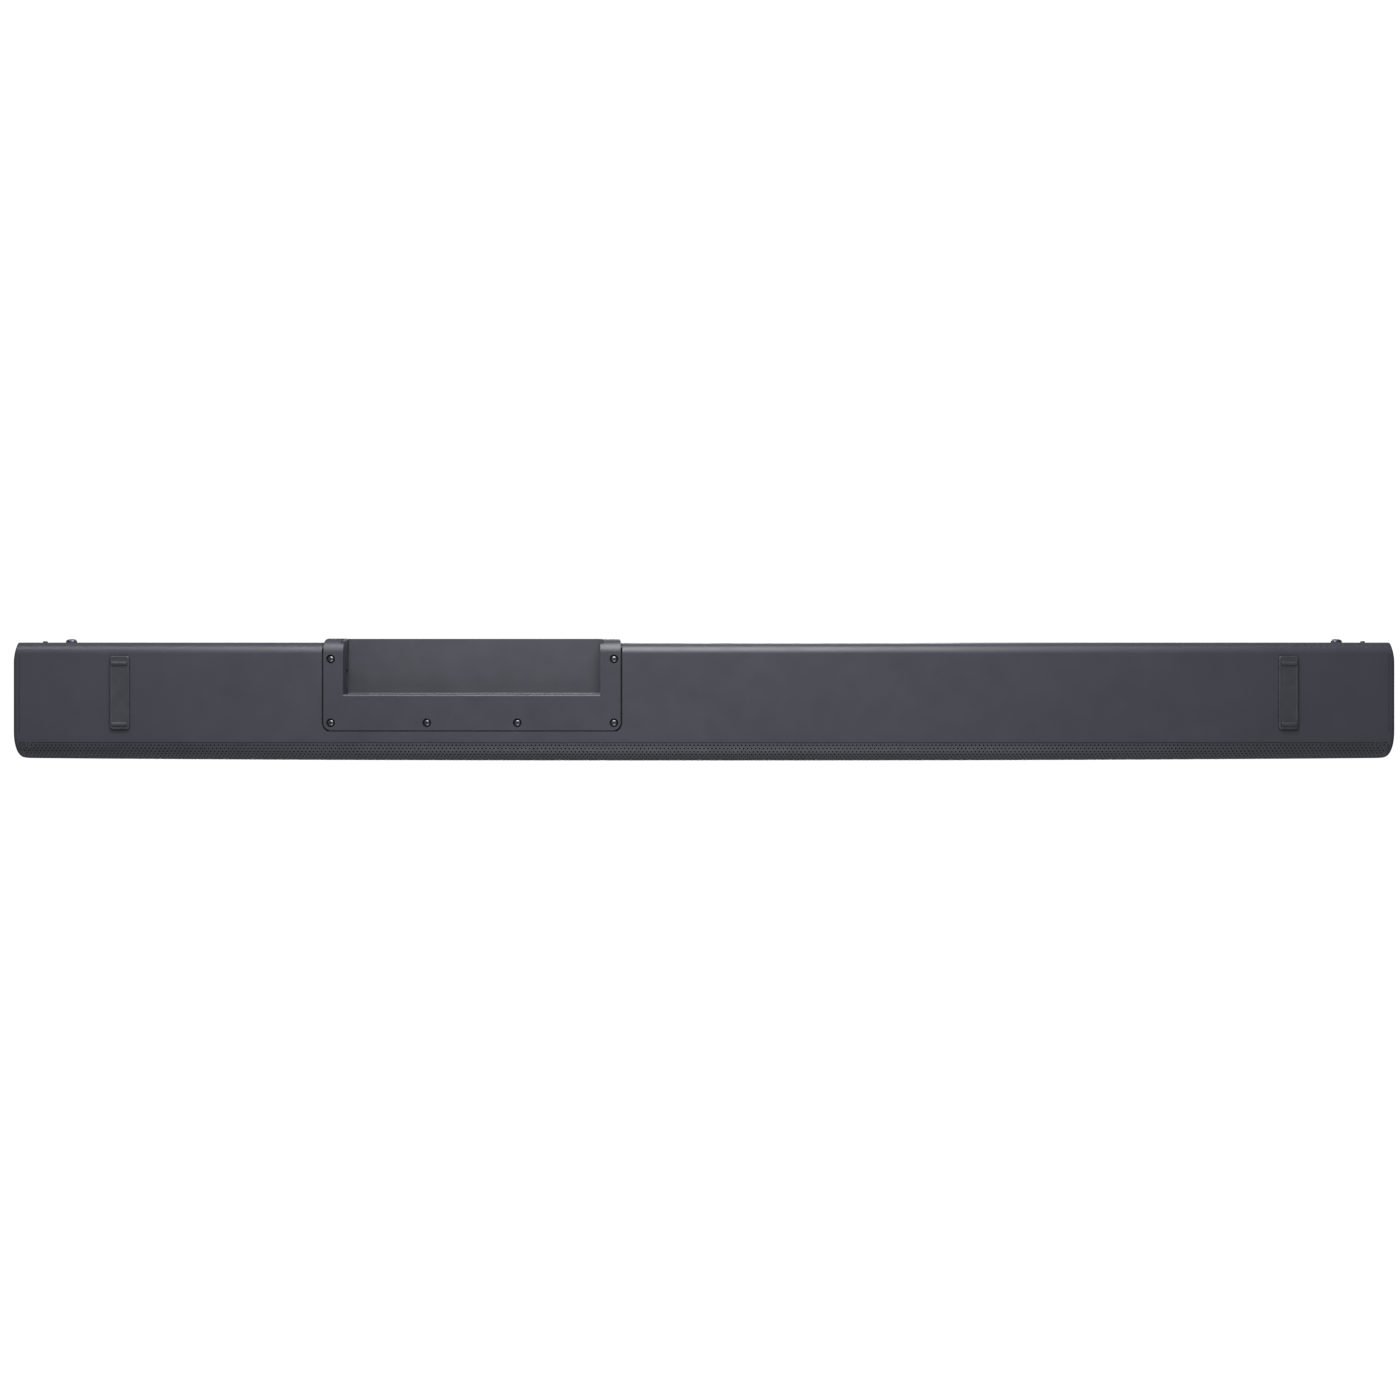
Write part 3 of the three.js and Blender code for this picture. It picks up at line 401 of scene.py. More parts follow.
def moulded(name, base, rough, grain_mm=0.45, depth_mm=0.012):
    """Spark-eroded moulded plastic: fine pebble grain and a faintly uneven gloss."""
    made = Recipe(name)
    made.colour(base, 0.05, 18, 4)
    made.roughness(rough - 0.04, rough + 0.04, 60, 3)
    made.bump(1 / (grain_mm * MM), depth_mm)
    return made.material


def coated_metal(name, base, rough):
    """Powder coat over sheet steel: orange-peel bump and slight sparkle of gloss."""
    made = Recipe(name, metallic=0.25)
    made.colour(base, 0.08, 40, 4)
    made.roughness(rough - 0.06, rough + 0.06, 220, 2)
    made.bump(1600, 0.01, 3)
    return made.material


def machined(name, base, rough, stretch=(1, 1, 1), metallic=1.0, grain=900):
    """Plated or extruded metal with a faint directional grain."""
    made = Recipe(name, metallic=metallic)
    made.colour(base, 0.06, 120, 3, stretch)
    made.roughness(rough - 0.06, rough + 0.08, grain, 2, stretch)
    made.bump(grain, 0.006, 2, stretch)
    return made.material


def elastomer(name, base, rough, specular=0.35):
    """Moulded rubber: dull, with dust-like mottling."""
    made = Recipe(name, specular=specular)
    made.colour(base, 0.1, 70, 5)
    made.roughness(rough - 0.08, rough + 0.08, 150, 4)
    made.bump(1400, 0.02, 3)
    return made.material


WAVE_DIVISOR = 6.283  # turns threads per metre into the wave texture's scale
THREAD_DEPTH = 0.08  # millimetres


def woven(name, base, pitch_mm):
    """A plain weave of crossing threads."""
    made = Recipe(name, specular=0.2, sheen=0.2)
    made.colour(base, 0.25, 900, 2)
    made.roughness(0.8, 0.95, 300, 2)
    height = made.node("ShaderNodeMath", operation="MAXIMUM")
    for index, axis in enumerate(("X", "Z")):
        wave = made.node("ShaderNodeTexWave", Scale=1 / (pitch_mm * MM) / WAVE_DIVISOR, Distortion=0.4)
        wave.bands_direction = axis
        made.link(made.coords, wave.inputs["Vector"])
        made.link(wave.outputs["Fac"], height.inputs[index])
    bump = made.node("ShaderNodeBump", Distance=THREAD_DEPTH * MM)
    made.link(height.outputs["Value"], bump.inputs["Height"])
    made.link(bump.outputs["Normal"], made.shader.inputs["Normal"])
    return made.material


def fibrous(name, base):
    """Pressed paper pulp with visible short fibres."""
    made = Recipe(name, specular=0.25, sheen=0.1)
    made.colour(base, 0.25, 380, 5, (1, 4, 1))
    made.roughness(0.75, 0.95, 200, 3)
    made.bump(900, 0.06, 5, (3, 1, 1))
    return made.material


def board(name, base):
    """Solder mask with copper tracks showing through as slightly lighter lines."""
    made = Recipe(name, coat=0.3)
    tracks = made.node("ShaderNodeTexBrick", Scale=90.0, Mortar_Size=0.03)
    tracks.inputs["Color1"].default_value = [c * 0.85 for c in base] + [1]
    tracks.inputs["Color2"].default_value = [c * 1.15 for c in base] + [1]
    tracks.inputs["Mortar"].default_value = [c * 1.9 for c in base] + [1]
    made.link(made.coords, tracks.inputs["Vector"])
    made.link(tracks.outputs["Color"], made.shader.inputs["Base Color"])
    made.roughness(0.3, 0.45, 200, 2)
    made.bump(500, 0.02, 2)
    return made.material


SHELL = moulded("shell_plastic", (0.046, 0.047, 0.058), 0.40)
BAY = moulded("bay_plastic", (0.043, 0.044, 0.054), 0.42)
BUTTON = moulded("button_plastic", (0.033, 0.034, 0.042), 0.38, 0.5, 0.008)
INNER = moulded("inner_plastic", (0.012, 0.012, 0.014), 0.55)
BASKET = moulded("basket_plastic", (0.012, 0.012, 0.014), 0.5, 0.7, 0.03)
INLET = moulded("inlet_plastic", (0.011, 0.011, 0.013), 0.4, 0.5, 0.01)
GRILLE = coated_metal("grille_metal", (0.055, 0.056, 0.067), 0.42)
DARK_STEEL = machined("dark_steel", (0.15, 0.15, 0.17), 0.24, (1, 1, 1), 0.9, 1500)
SOCKET_STEEL = machined("socket_steel", (0.50, 0.50, 0.52), 0.3, (1, 6, 1))
ALUMINIUM = machined("heat_sink_aluminium", (0.55, 0.56, 0.58), 0.4, (1, 1, 0.1))
FERRITE = machined("magnet_ferrite", (0.05, 0.05, 0.056), 0.55, (1, 1, 1), 0.3)
TRANSFORMER = machined("transformer_core", (0.50, 0.33, 0.06), 0.45, (1, 1, 8), 0.1)
FOOT = elastomer("foot_rubber", (0.044, 0.045, 0.053), 0.40, 0.5)
SURROUND = elastomer("driver_rubber", (0.010, 0.010, 0.011), 0.55)
SCRIM = woven("scrim_cloth", (0.006, 0.006, 0.007), 0.5)
DOME = woven("dome_fabric", (0.020, 0.020, 0.022), 0.35)
CONE = fibrous("cone_paper", (0.018, 0.018, 0.020))
BOARD = board("circuit_board", (0.013, 0.078, 0.033))
DISPLAY = moulded("display_window", (0.005, 0.005, 0.007), 0.14, 2.0, 0.003)
SLEEVE = moulded("capacitor_sleeve", (0.018, 0.051, 0.147), 0.32, 1.2, 0.01)
RED_WIRE = moulded("wire_red", (0.194, 0.018, 0.014), 0.4, 0.8, 0.01)
BLACK_WIRE = moulded("wire_black", (0.014, 0.014, 0.016), 0.42, 0.8, 0.01)
LEGEND = moulded("legend_ink", (0.42, 0.43, 0.45), 0.5, 0.6, 0.004)

CARRIED = {
    "shell_plastic": SHELL,
    "bay_plastic": BAY,
    "button_plastic": BUTTON,
    "inner_plastic": INNER,
    "basket_plastic": BASKET,
    "inlet_plastic": INLET,
    "grille_metal": GRILLE,
    "dark_steel": DARK_STEEL,
    "socket_steel": SOCKET_STEEL,
    "heat_sink_aluminium": ALUMINIUM,
    "magnet_ferrite": FERRITE,
    "transformer_core": TRANSFORMER,
    "foot_rubber": FOOT,
    "driver_rubber": SURROUND,
    "scrim_cloth": SCRIM,
    "dome_fabric": DOME,
    "cone_paper": CONE,
    "circuit_board": BOARD,
    "display_window": DISPLAY,
    "capacitor_sleeve": SLEEVE,
    "wire_red": RED_WIRE,
    "wire_black": BLACK_WIRE,
}
for part in frame["record"]["subparts"]:
    carried = NODES[part["node"]]
    carried.data.materials.clear()
    carried.data.materials.append(CARRIED[part["material_slot"]])


# ---------- enclosure ----------
def shell_profile(rear_top):
    """The tub in section: along the underside, up the rear wall to rear_top, and back inside."""
    rear = (REAR_Y - REAR_RADIUS, FOOT_HEIGHT + REAR_RADIUS)
    inner = REAR_RADIUS - WALL
    inner_nose = (NOSE_SIZE[0] - WALL, NOSE_SIZE[1] - WALL)
    return [
        *nose_curve(NOSE_CENTRE, NOSE_SIZE, EDGE_ANGLE, 0, 10),
        *arc(rear, (REAR_RADIUS, REAR_RADIUS), 270, 360, 24),
        (REAR_Y, rear_top),
        (REAR_Y - WALL, rear_top),
        *arc(rear, (inner, inner), 360, 270, 8),
        *nose_curve(NOSE_CENTRE, inner_nose, 0, EDGE_ANGLE, 5),
    ]


def shell_loft(profile):
    """Runs just into the caps, so that its softened end edges are hidden in them."""
    end = CAP_START_X + SHELL_EDGE
    return prism_x(profile, (-end, end))


def flange_profile(grow):
    """The rim in section, bent up at the rear. Grown, it is the recess that the rim lies in."""
    outer, inner = FLANGE_RADIUS, REAR_RADIUS - 1
    inner_z = BAY_FACE_Z + BAY_FLANGE + grow
    inner_y = REAR_Y + GAP - grow
    lower = BAY_FACE_Z - 2 * grow
    return [
        (BAY_FRONT_Y - 2 * grow, lower),
        *arc((REAR_REACH - outer, lower + outer), (outer, outer), 270, 360, 20),
        (REAR_REACH, BAY_TOP_Z + grow),
        (inner_y, BAY_TOP_Z + grow),
        *arc((inner_y - inner, inner_z + inner), (inner, inner), 360, 270, 8),
        (BAY_FRONT_Y - 2 * grow, inner_z),
    ]


def bay_rim(profile_grow, plan_grow):
    """The bay's rim, or the recess it lies in when grown."""
    x0, x1 = BAY_X[0] - plan_grow, BAY_X[1] + plan_grow
    y0, y1 = BAY_FRONT_Y - plan_grow, REAR_REACH + plan_grow
    front, rear = SEAM_CORNER + plan_grow, SEAM_REAR_CORNER + plan_grow
    outline = [
        *arc((x0 + front, y0 + front), (front, front), 180, 270, 12),
        *arc((x1 - front, y0 + front), (front, front), 270, 360, 12),
        *arc((x1 - rear, y1 - rear), (rear, rear), 0, 90, 6),
        *arc((x0 + rear, y1 - rear), (rear, rear), 90, 180, 6),
    ]
    rim = new_object("rim", prism_x(flange_profile(profile_grow), (x0 - 1, x1 + 1)))
    combine(rim, "INTERSECT", plate_z(outline, (0, BAY_TOP_Z + 1)))
    return rim


def build_bottom_shell():
    shell = new_object("bottom_shell_skin", shell_loft(shell_profile(SPLIT_Z)))
    half_x, half_y = FOOT_SIZE[0] / 2 + FOOT_GAP, FOOT_SIZE[1] / 2 + FOOT_GAP
    cuts = [
        bay_rim(GAP, SEAM_GAP),
        block((BAY_BOX_X[0] - GAP, BAY_BOX_X[1] + GAP), (0, 60), (-1, BAY_BOX_Z[1] + GAP)),
    ]
    for sign in SIDES.values():
        for hole_x, (radius, start) in ((WALL_SCREW_X, WALL_SCREW_HOLE), (PIN_X, PIN_HOLE)):
            at = (sign * hole_x, WALL_FIXING_Z)
            cuts.append(turned([(radius, start), (radius, REAR_REACH)], 1, at, 24))
        x = sign * FOOT_X
        pocket = rounded_outline(
            (x - half_x, x + half_x), (FOOT_Y - half_y, FOOT_Y + half_y), 2.0, 6
        )
        cuts.append(plate_z(pocket, (-1, FOOT_HEIGHT + FOOT_POCKET)))
    combine(shell, "DIFFERENCE", *cuts)
    soften(shell, SHELL_EDGE)
    place(shell, "bar", "shell_plastic", SHELL, "bottom_shell")


def build_top_cover():
    profile = mirror_z(shell_profile(2 * MIDDLE_Z - SPLIT_Z - GAP))
    lid = new_object("top_cover_skin", shell_loft(profile))
    radius = BUTTON_RADIUS + GAP
    hole = [(radius, TOP_Z - 5), (radius, TOP_Z + 1)]
    holes = [turned(hole, 2, (x, BUTTON_Y), 48) for x in BUTTONS.values()]
    combine(lid, "DIFFERENCE", *holes)
    soften(lid, SHELL_EDGE)
    place(lid, "bar", "shell_plastic", SHELL, "top_cover")


def section(nose_centre, nose, rear, rear_radius):
    """The whole bar's outline in section: front, underside, rear and top."""
    low = nose_centre[1] - nose[1]
    half = [
        *nose_curve(nose_centre, nose, 90, 0, 18),
        *arc((rear - rear_radius, low + rear_radius), (rear_radius, rear_radius), 270, 360, 12),
    ]
    return half + mirror_z(half)


def cap_loop(sign, along):
    """The section at a distance in from the end face, shrinking to a rounder one at the face."""
    x = HALF_LENGTH - along
    bar = section(NOSE_CENTRE, NOSE_SIZE, REAR_Y, REAR_RADIUS)
    end_centre = (END_NOSE[0] - END_FLAT["front"], NOSE_CENTRE[1])
    end = section(end_centre, END_NOSE, END_FLAT["rear"], END_REAR_RADIUS)
    full = front_reach(CAP_START_X)
    inward = (full - front_reach(x)) / (full - END_FLAT["front"])
    rearward = (REAR_Y - rear_reach(x)) / (REAR_Y - END_FLAT["rear"])
    up = 1 - math.sqrt(1 - (max(0, END_FILLET - along) / END_FILLET) ** 2)
    out = []
    for (straight_y, z), (end_y, end_z) in zip(bar, end):
        y = bowed(straight_y, CAP_START_X)
        w = inward if y < 0 else rearward
        out.append((sign * x, y + (end_y - y) * w, z + (end_z - z) * up))
    return out


def build_end_cap(side, sign):
    depth, turns = HALF_LENGTH - CAP_START_X, 14
    steps = [depth, (depth + END_FILLET) / 2, END_FILLET]
    for i in range(1, turns + 1):
        steps.append(END_FILLET * (1 - math.sin(math.radians(90 * i / turns))))
    cap = new_object(f"end_cap_{side}_skin", loft([cap_loop(sign, along) for along in steps]))
    soften(cap, 0)
    place(cap, "bar", "shell_plastic", SHELL, f"end_cap_{side}")


# ---------- perforated grille ----------
def grille_path():
    """Points from the lower edge round the nose to the upper edge, with the distance along."""
    low = nose_curve(NOSE_CENTRE, NOSE_SIZE, EDGE_ANGLE + GRILLE_START, 90, 160)
    points = low + mirror_z(low)
    distance = [0.0]
    for (y0, z0), (y1, z1) in zip(points, points[1:]):
        distance.append(distance[-1] + math.hypot(y1 - y0, z1 - z0))
    return points, distance


def along_path(path, at):
    """Position and outward direction at a distance along the path."""
    points, distance = path
    at = min(max(at, 0), distance[-1])
    low, high = 0, len(distance) - 1
    while high - low > 1:
        middle = (low + high) // 2
        if distance[middle] <= at:
            low = middle
        else:
            high = middle
    (y0, z0), (y1, z1) = points[low], points[high]
    span = distance[high] - distance[low]
    t = (at - distance[low]) / span
    y, z = y0 + (y1 - y0) * t, z0 + (z1 - z0) * t
    return (y, z), ((z0 - z1) / span, (y1 - y0) / span)


def build_grille():
    """A sheet with staggered blind holes, whose floors stand for the dark cloth behind it."""
    path = grille_path()
    length = path[1][-1]
    rows = round((length - 2 * EDGE_BORDER) / PITCH_ROW)
    row_height = (length - 2 * EDGE_BORDER) / rows
    half_x = CAP_SEAM_X - END_BORDER
    cells = round(2 * half_x / PITCH_X)
    step = half_x / cells  # half a pitch
    verts, faces, cache = [], [], {}

    def vertex(x, s, depth=0.0):
        (y, z), (ny, nz) = along_path(path, s)
        verts.append((x, bowed(y - ny * depth, x), z - nz * depth))
        return len(verts) - 1

    def corner(k, line):
        """Shared grid point: k half pitches from the left, on a line between rows."""
        key = (k, line)
        if key not in cache:
            cache[key] = vertex(-half_x + k * step, EDGE_BORDER + line * row_height)
        return cache[key]

    for row in range(rows):
        middle = EDGE_BORDER + (row + 0.5) * row_height
        offset = row % 2
        if offset:
            for k in (0, 2 * cells - 1):
                faces.append(
                    (corner(k, row), corner(k + 1, row), corner(k + 1, row + 1), corner(k, row + 1))
                )
        for cell in range(cells - offset):
            k = 2 * cell + offset
            around = [
                corner(k + 1, row),
                corner(k + 2, row),
                corner(k + 2, row + 1),
                corner(k + 1, row + 1),
                corner(k, row + 1),
                corner(k, row),
            ]
            x = -half_x + (k + 1) * step
            rim, floor = [], []
            for degrees in (270, 330, 30, 90, 150, 210):
                a = math.radians(degrees)
                at_x, at_s = x + HOLE_RADIUS * math.cos(a), middle + HOLE_RADIUS * math.sin(a)
                rim.append(vertex(at_x, at_s))
                floor.append(vertex(at_x, at_s, HOLE_DEPTH))
            for i in range(6):
                j = (i + 1) % 6
                faces.append((around[i], around[j], rim[j], rim[i]))
                faces.append((rim[i], rim[j], floor[j], floor[i]))

    ends = [-half_x + k * step for k in range(2 * cells + 1)]
    for line, start, sign in ((0, 0.0, 1), (rows, length, -1)):
        strips = [[corner(k, line) for k in range(2 * cells + 1)]]
        strips += [[vertex(x, start + sign * s, depth) for x in ends] for s, depth in HEM]
        for inner, outer in zip(strips, strips[1:]):
            for k in range(2 * cells):
                faces.append((inner[k], inner[k + 1], outer[k + 1], outer[k]))
    for k, x in ((0, -CAP_SEAM_X), (2 * cells, CAP_SEAM_X)):
        inner = [vertex(ends[k], 0.0)] + [corner(k, line) for line in range(rows + 1)]
        inner.append(vertex(ends[k], length))
        heights = [0.0] + [EDGE_BORDER + line * row_height for line in range(rows + 1)] + [length]
        outer = [vertex(x, s) for s in heights]
        under = [vertex(x, s, SHEET) for s in heights]
        for i in range(len(heights) - 1):
            faces.append((inner[i], inner[i + 1], outer[i + 1], outer[i]))
            faces.append((outer[i], outer[i + 1], under[i + 1], under[i]))
    grille = new_object("front_grille_sheet", (verts, faces))
    edit = bmesh.new()
    edit.from_mesh(grille.data)
    bmesh.ops.remove_doubles(edit, verts=edit.verts, dist=1e-6)
    bmesh.ops.recalc_face_normals(edit, faces=edit.faces)
    edit.to_mesh(grille.data)
    edit.free()
    soften(grille, 0)
    place(grille, "bar", "grille_metal", GRILLE, "front_grille")


# ---------- connector bay ----------
def build_cavity():
    """The recess: drafted side walls, and a front wall that curves into the ceiling."""
    low, high = BAY_FACE_Z - 2, CAVITY_TOP_Z + 2
    draft = CAVITY_SIDE_DRAFT / (CAVITY_TOP_Z - BAY_FACE_Z)
    sides = []
    for z in (low, high):
        inset = draft * (z - BAY_FACE_Z)
        x0, x1 = CAVITY_X[0] + inset, CAVITY_X[1] - inset
        sides.append([(x0, -5, z), (x1, -5, z), (x1, 60, z), (x0, 60, z)])
    cavity = new_object("cavity", loft(sides))
    front_z, rear_z = CAVITY_CEILING_Z
    lip_y = CAVITY_WALL_Y - CAVITY_LIP
    centre = (CAVITY_WALL_Y + CAVITY_FILLET, front_z - CAVITY_FILLET)
    rear = REAR_REACH + 2
    profile = [
        (lip_y, low),
        *arc((lip_y, BAY_FACE_Z + CAVITY_LIP), (CAVITY_LIP, CAVITY_LIP), 270, 360, 10),
        *arc(centre, (CAVITY_FILLET, CAVITY_FILLET), 180, 92, 10),
        (rear, rear_z),
        (rear, low),
    ]
    combine(cavity, "INTERSECT", prism_x(profile, (CAVITY_X[0] - 2, CAVITY_X[1] + 2)))
    return cavity


def build_bay():
    bay = bay_rim(0, 0)
    bay.name = "connector_bay_moulding"
    combine(bay, "UNION", block(BAY_BOX_X, BAY_BOX_Y, BAY_BOX_Z))
    combine(bay, "UNION", block(BAY_BOX_X, BAY_ROOF_Y, (CAVITY_TOP_Z, BAY_BOX_Z[1])))
    cuts = [build_cavity(), *(block(*window) for window in SOCKET_WINDOWS.values())]
    bore, depth = COUNTERBORE
    hole, height = BAY_SCREW_HOLE
    for at in BAY_SCREWS:
        cuts.append(turned([(bore, 0), (bore, BAY_FACE_Z + depth)], 2, at, 40))
        cuts.append(turned([(hole, 0), (hole, height)], 2, at, 24))
    combine(bay, "DIFFERENCE", *cuts)
    soften(bay, 0.45, 35, 3)
    place(bay, "bar", "bay_plastic", BAY, "connector_bay")


# ---------- fasteners ----------
def cross(axis, centre, span, long, thin):
    """Two crossed slots for a screwdriver, cut over a span along the screw."""
    bars = []
    for u, v in ((long, thin), (thin, long)):
        first = (centre[0] - u, centre[0] + u)
        second = (centre[1] - v, centre[1] + v)
        bars.append(block(first, second, span) if axis == 2 else block(first, span, second))
    return bars


def dome_profile(radius, base, top, edge):
    """A domed head from its rim at base to a small flat crown at top."""
    crown, steps = 0.12, 10
    out = [(radius, base)]
    for i in range(steps + 1):
        a = math.radians(90 * i / steps)
        rise = edge + (1 - edge) * math.sin(a)
        out.append((radius * (crown + (1 - crown) * math.cos(a)), base + (top - base) * rise))
    return out


def build_bay_screw(number, at):
    face = BAY_FACE_Z + 0.4  # the crown lies a little inside the counterbore
    seat = face + 1.7
    head = dome_profile(2.7, seat, face, 0.12)
    shank = [(1.3, seat + 0.01), (1.3, 11.5), (0.4, 12.5)]
    screw = new_object(f"bay_screw_{number}_detail", turned([*reversed(head), *shank], 2, at, 40))
    combine(screw, "DIFFERENCE", *cross(2, at, (face - 1, face + 0.9), 1.1, 0.28))
    soften(screw, 0.08, 40)
    place(screw, "bar", "dark_steel", DARK_STEEL, f"bay_screw_{number}")


def build_wall_screw(side, x):
    at = (x, WALL_FIXING_Z)
    seat = REAR_Y + GAP
    shank = [(0.5, 33), (1.8, 34.5), (1.8, seat - 0.01)]
    head = dome_profile(4.5, seat, REAR_REACH, 0.35)
    screw = new_object(f"wall_screw_{side}_detail", turned([*shank, *head], 1, at, 48))
    combine(screw, "DIFFERENCE", *cross(1, at, (REAR_REACH - 2, REAR_REACH + 1), 2.3, 0.5))
    soften(screw, 0.12, 40)
    place(screw, "bar", "dark_steel", DARK_STEEL, f"wall_screw_{side}")


def build_pin(side, x):
    profile = [(1.5, 38), (1.9, 38.5), (1.9, 44.9), (1.82, 45.15), (1.6, 45.4), (1.2, 45.5)]
    pin = new_object(f"locating_pin_{side}_detail", turned(profile, 1, (x, WALL_FIXING_Z), 32))
    soften(pin, 0)
    place(pin, "bar", "dark_steel", DARK_STEEL, f"locating_pin_{side}")


# ---------- feet ----------
def build_foot(side, x):
    half_x, half_y = FOOT_SIZE[0] / 2, FOOT_SIZE[1] / 2

    def ring(inset, z):
        outline = rounded_outline(
            (x - half_x + inset, x + half_x - inset),
            (FOOT_Y - half_y + inset, FOOT_Y + half_y - inset),
            1.9 - inset * 0.6,
            8,
        )
        return [(u, v, z) for u, v in outline]

    # [inset, height]: up out of the pocket, round the lip and onto the slightly sunken face
    levels = [(0, 3.5), (0, 1.9), (0.08, 1.5), (0.3, 1.2), (0.6, 1.06), (0.95, 1.0), (1.35, 1.0)]
    levels += [(1.55, 1.12), (1.8, 1.2)]
    foot = new_object(f"foot_{side}_pad", loft([ring(inset, z) for inset, z in levels]))
    root = RIDGE_SIZE[0] + 0.4
    for dy in FOOT_RIDGES:
        y = FOOT_Y + dy
        crest = [(v, max(z, 0.0)) for v, z in arc((y, 1.0), RIDGE_SIZE, 180, 360, 10)]
        profile = [(y - root, 1.4), *crest, (y + root, 1.4)]
        combine(foot, "UNION", prism_x(profile, (x - 5.8, x + 5.8)))
    soften(foot, 0.12, 50)
    place(foot, "bar", "foot_rubber", FOOT, f"foot_{side}")


# ---------- buttons ----------
def build_button(name, x):
    edge = (BUTTON_RADIUS - BUTTON_EDGE, TOP_Z - BUTTON_EDGE)
    profile = [(2, 52.4), (2, 55.7), (6.8, 55.7), (6.8, 57.0), (BUTTON_RADIUS, 57.0)]
    profile += arc(edge, (BUTTON_EDGE, BUTTON_EDGE), 0, 90, 6)
    profile += [(4.4, 59.93), (3.4, 59.8), (2.2, 59.7), (1.0, 59.65), (0.3, 59.64)]  # the dish
    cap = new_object(f"button_{name}_cap", turned(profile, 2, (x, BUTTON_Y), 64))
    soften(cap, 0)
    place(cap, f"button_{name}", "button_plastic", BUTTON, f"button_{name}")
    build_legend(name, x)


def build_legend(name, x):
    """A raised symbol on the button: a power sign, a minus, a plus, or a ring with a dot."""

    def stroke(half_x, y, top):
        return block((x - half_x, x + half_x), y, (LEGEND_BASE_Z, top))

    def about(half_y):
        return BUTTON_Y - half_y, BUTTON_Y + half_y

    dash = stroke(1.8, about(0.28), 59.8)
    strokes = {
        "power": [stroke(0.25, (BUTTON_Y, BUTTON_Y + 2.2), 59.86)],
        "volume_down": [dash],
        "volume_up": [dash, stroke(0.28, about(1.8), 59.81)],
        "source": [stroke(0.3, about(0.3), 59.74)],
    }[name]
    legend = new_object(f"button_{name}_legend", *strokes)
    if name in ("power", "source"):
        sweep = (125, 415) if name == "power" else (0, 359)
        outer = arc((x, BUTTON_Y), (2.0, 2.0), *sweep, 40)
        inner = arc((x, BUTTON_Y), (1.5, 1.5), *sweep, 40)
        combine(legend, "UNION", plate_z(outer + inner[::-1], (LEGEND_BASE_Z, 59.78)))
    soften(legend, 0)
    place(legend, f"button_{name}", "button_plastic", LEGEND)


build_bottom_shell()
build_top_cover()
build_grille()
build_bay()
for side_name, side_sign in SIDES.items():
    build_end_cap(side_name, side_sign)
    build_wall_screw(side_name, side_sign * WALL_SCREW_X)
    build_pin(side_name, side_sign * PIN_X)
    build_foot(side_name, side_sign * FOOT_X)
for index, screw_at in enumerate(BAY_SCREWS, 1):
    build_bay_screw(index, screw_at)
for button_name, button_x in BUTTONS.items():
    build_button(button_name, button_x)


# ---------- staging ----------
def add_floor():
    """A pale floor under the feet that is seen from above only, so the underside view is open."""
    half, drop = 6.0, -0.0004
    mesh = bpy.data.meshes.new("floor")
    corners = [(-half, -half), (half, -half), (half, half), (-half, half)]
    mesh.from_pydata([(x, y, drop) for x, y in corners], [], [(0, 1, 2, 3)])
    floor = bpy.data.objects.new("floor", mesh)
    bpy.context.collection.objects.link(floor)
    floor.visible_diffuse = False
    floor.visible_glossy = False
    floor.visible_transmission = False
    floor.visible_shadow = False
    material = bpy.data.materials.new("floor_paint")
    material.use_nodes = True
    tree = material.node_tree
    paint = tree.nodes["Principled BSDF"]
    paint.inputs["Base Color"].default_value = (0.80, 0.80, 0.80, 1)
    paint.inputs["Roughness"].default_value = 0.7
    clear = tree.nodes.new("ShaderNodeBsdfTransparent")
    mix = tree.nodes.new("ShaderNodeMixShader")
    geometry = tree.nodes.new("ShaderNodeNewGeometry")
    tree.links.new(geometry.outputs["Backfacing"], mix.inputs["Fac"])
    tree.links.new(paint.outputs["BSDF"], mix.inputs[1])
    tree.links.new(clear.outputs["BSDF"], mix.inputs[2])
    tree.links.new(mix.outputs["Shader"], tree.nodes["Material Output"].inputs["Surface"])
    mesh.materials.append(material)


def add_light(name, location, target, size, energy, colour=(1, 1, 1)):
    """A rectangular softbox aimed at a target, in metres and watts."""
    data = bpy.data.lights.new(name, "AREA")
    data.shape = "RECTANGLE"
    data.size, data.size_y = size
    data.energy = energy
    data.color = colour
    light = bpy.data.objects.new(name, data)
    light.location = location
    light.rotation_euler = (Vector(target) - Vector(location)).to_track_quat("-Z", "Y").to_euler()
    bpy.context.collection.objects.link(light)


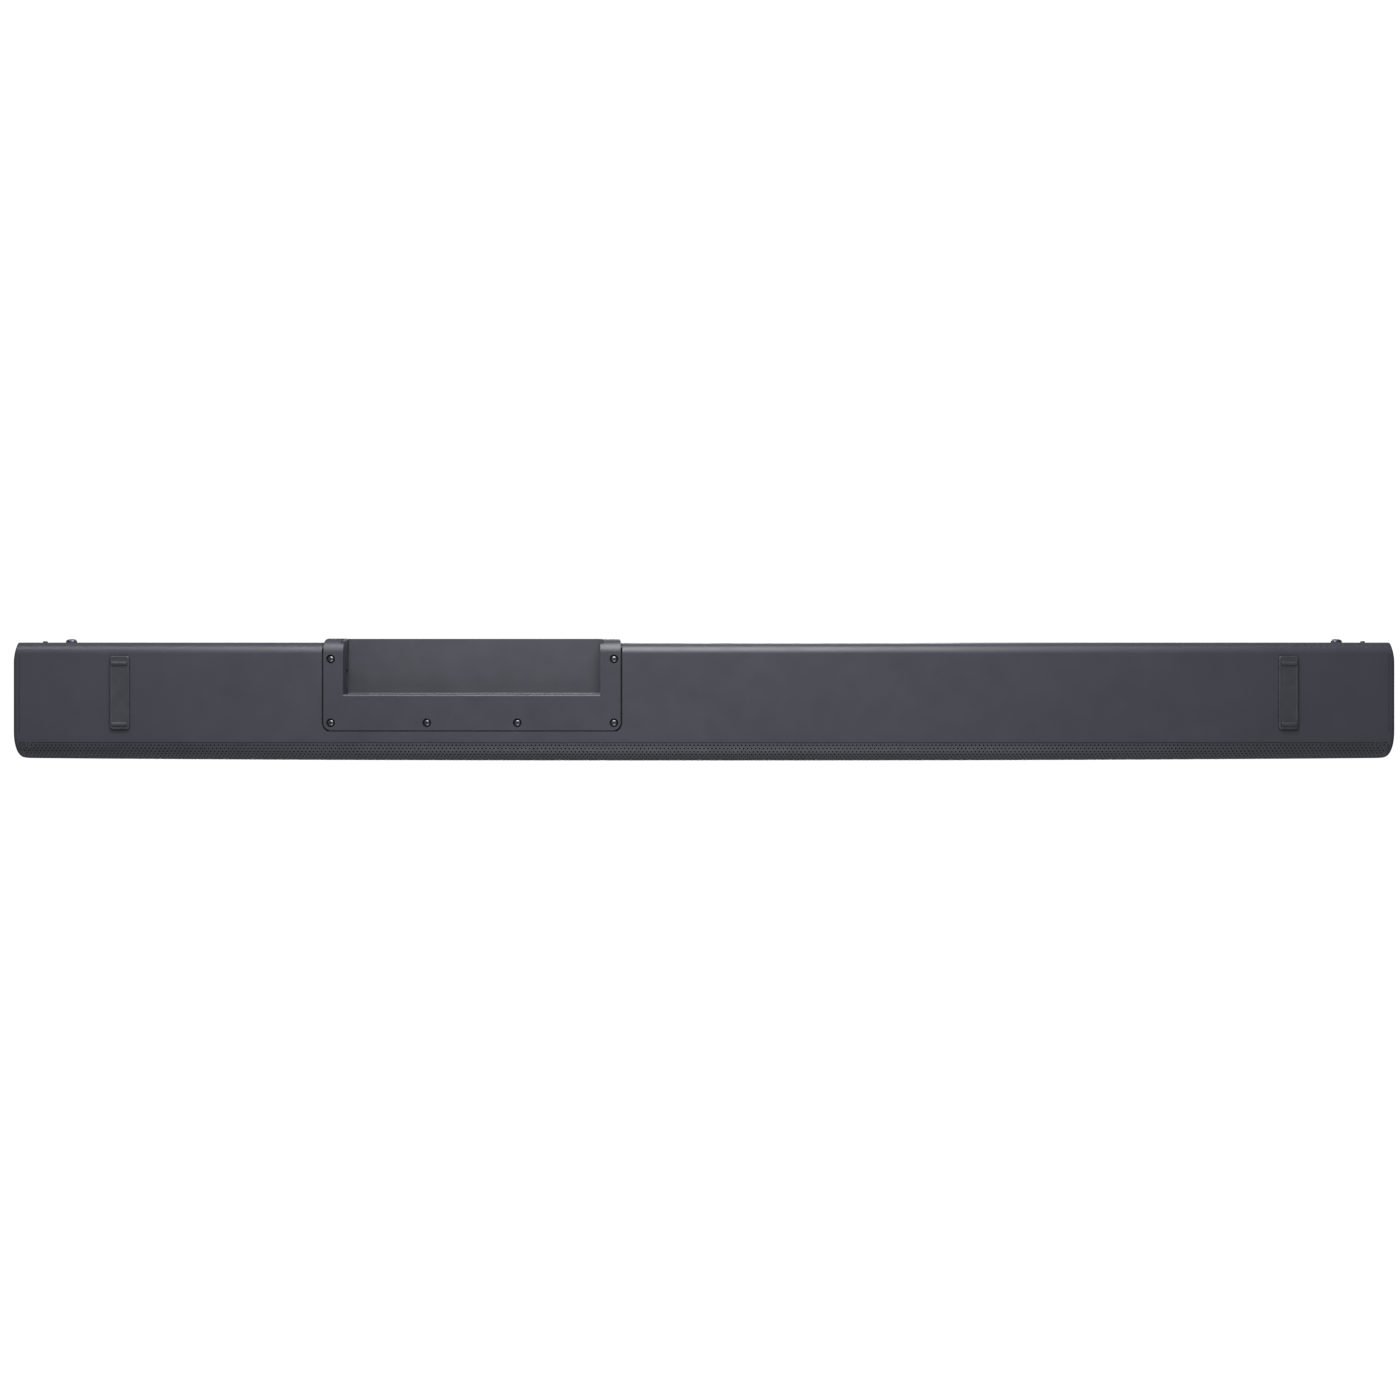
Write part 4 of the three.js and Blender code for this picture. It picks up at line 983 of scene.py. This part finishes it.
def add_world():
    """White to the camera, softer grey as a light source."""
    world = bpy.data.worlds.new("studio")
    bpy.context.scene.world = world
    world.use_nodes = True
    tree = world.node_tree
    surroundings = tree.nodes["Background"]
    surroundings.inputs["Color"].default_value = (0.94, 0.96, 1.0, 1)
    surroundings.inputs["Strength"].default_value = 0.18
    backdrop = tree.nodes.new("ShaderNodeBackground")
    backdrop.inputs["Color"].default_value = (1, 1, 1, 1)
    backdrop.inputs["Strength"].default_value = 1.05
    mix = tree.nodes.new("ShaderNodeMixShader")
    rays = tree.nodes.new("ShaderNodeLightPath")
    tree.links.new(rays.outputs["Is Camera Ray"], mix.inputs["Fac"])
    tree.links.new(surroundings.outputs["Background"], mix.inputs[1])
    tree.links.new(backdrop.outputs["Background"], mix.inputs[2])
    tree.links.new(mix.outputs["Shader"], tree.nodes["World Output"].inputs["Surface"])


def add_camera():
    """Looks straight up at the underside, as the photograph does."""
    data = bpy.data.cameras.new("camera")
    data.lens = 50
    data.sensor_width = 36
    camera = bpy.data.objects.new("camera", data)
    camera.location = (0.0031, -0.0006, -1.490)
    camera.rotation_euler = (0, math.pi, 0)
    bpy.context.collection.objects.link(camera)
    bpy.context.scene.camera = camera


add_floor()
add_world()
COOL = (0.97, 0.98, 1.0)
add_light("softbox_rear_low", (0.06, 0.70, -0.58), (0.02, 0, 0), (0.7, 0.66), 11.6, COOL)
add_light("strip_rear_low", (0.38, 1.05, -0.42), (0.10, 0, 0.01), (2.2, 0.25), 8, COOL)
add_light("softbox_front_low", (-0.05, -0.85, -0.85), (-0.05, 0, 0), (1.0, 0.8), 4.9, COOL)
add_light("softbox_front", (0.0, -1.3, 0.15), (0, 0, 0.03), (2.6, 1.2), 4.0, COOL)
add_light("strip_rear_top", (-0.10, 0.64, 0.92), (0, 0.03, 0.03), (0.45, 0.6), 7, COOL)
add_light("softbox_top", (0.0, 0.0, 1.6), (0, 0, 0), (1.8, 1.0), 26)
add_camera()
bpy.context.scene.view_settings.view_transform = "Standard"
bpy.context.scene.view_settings.look = "None"
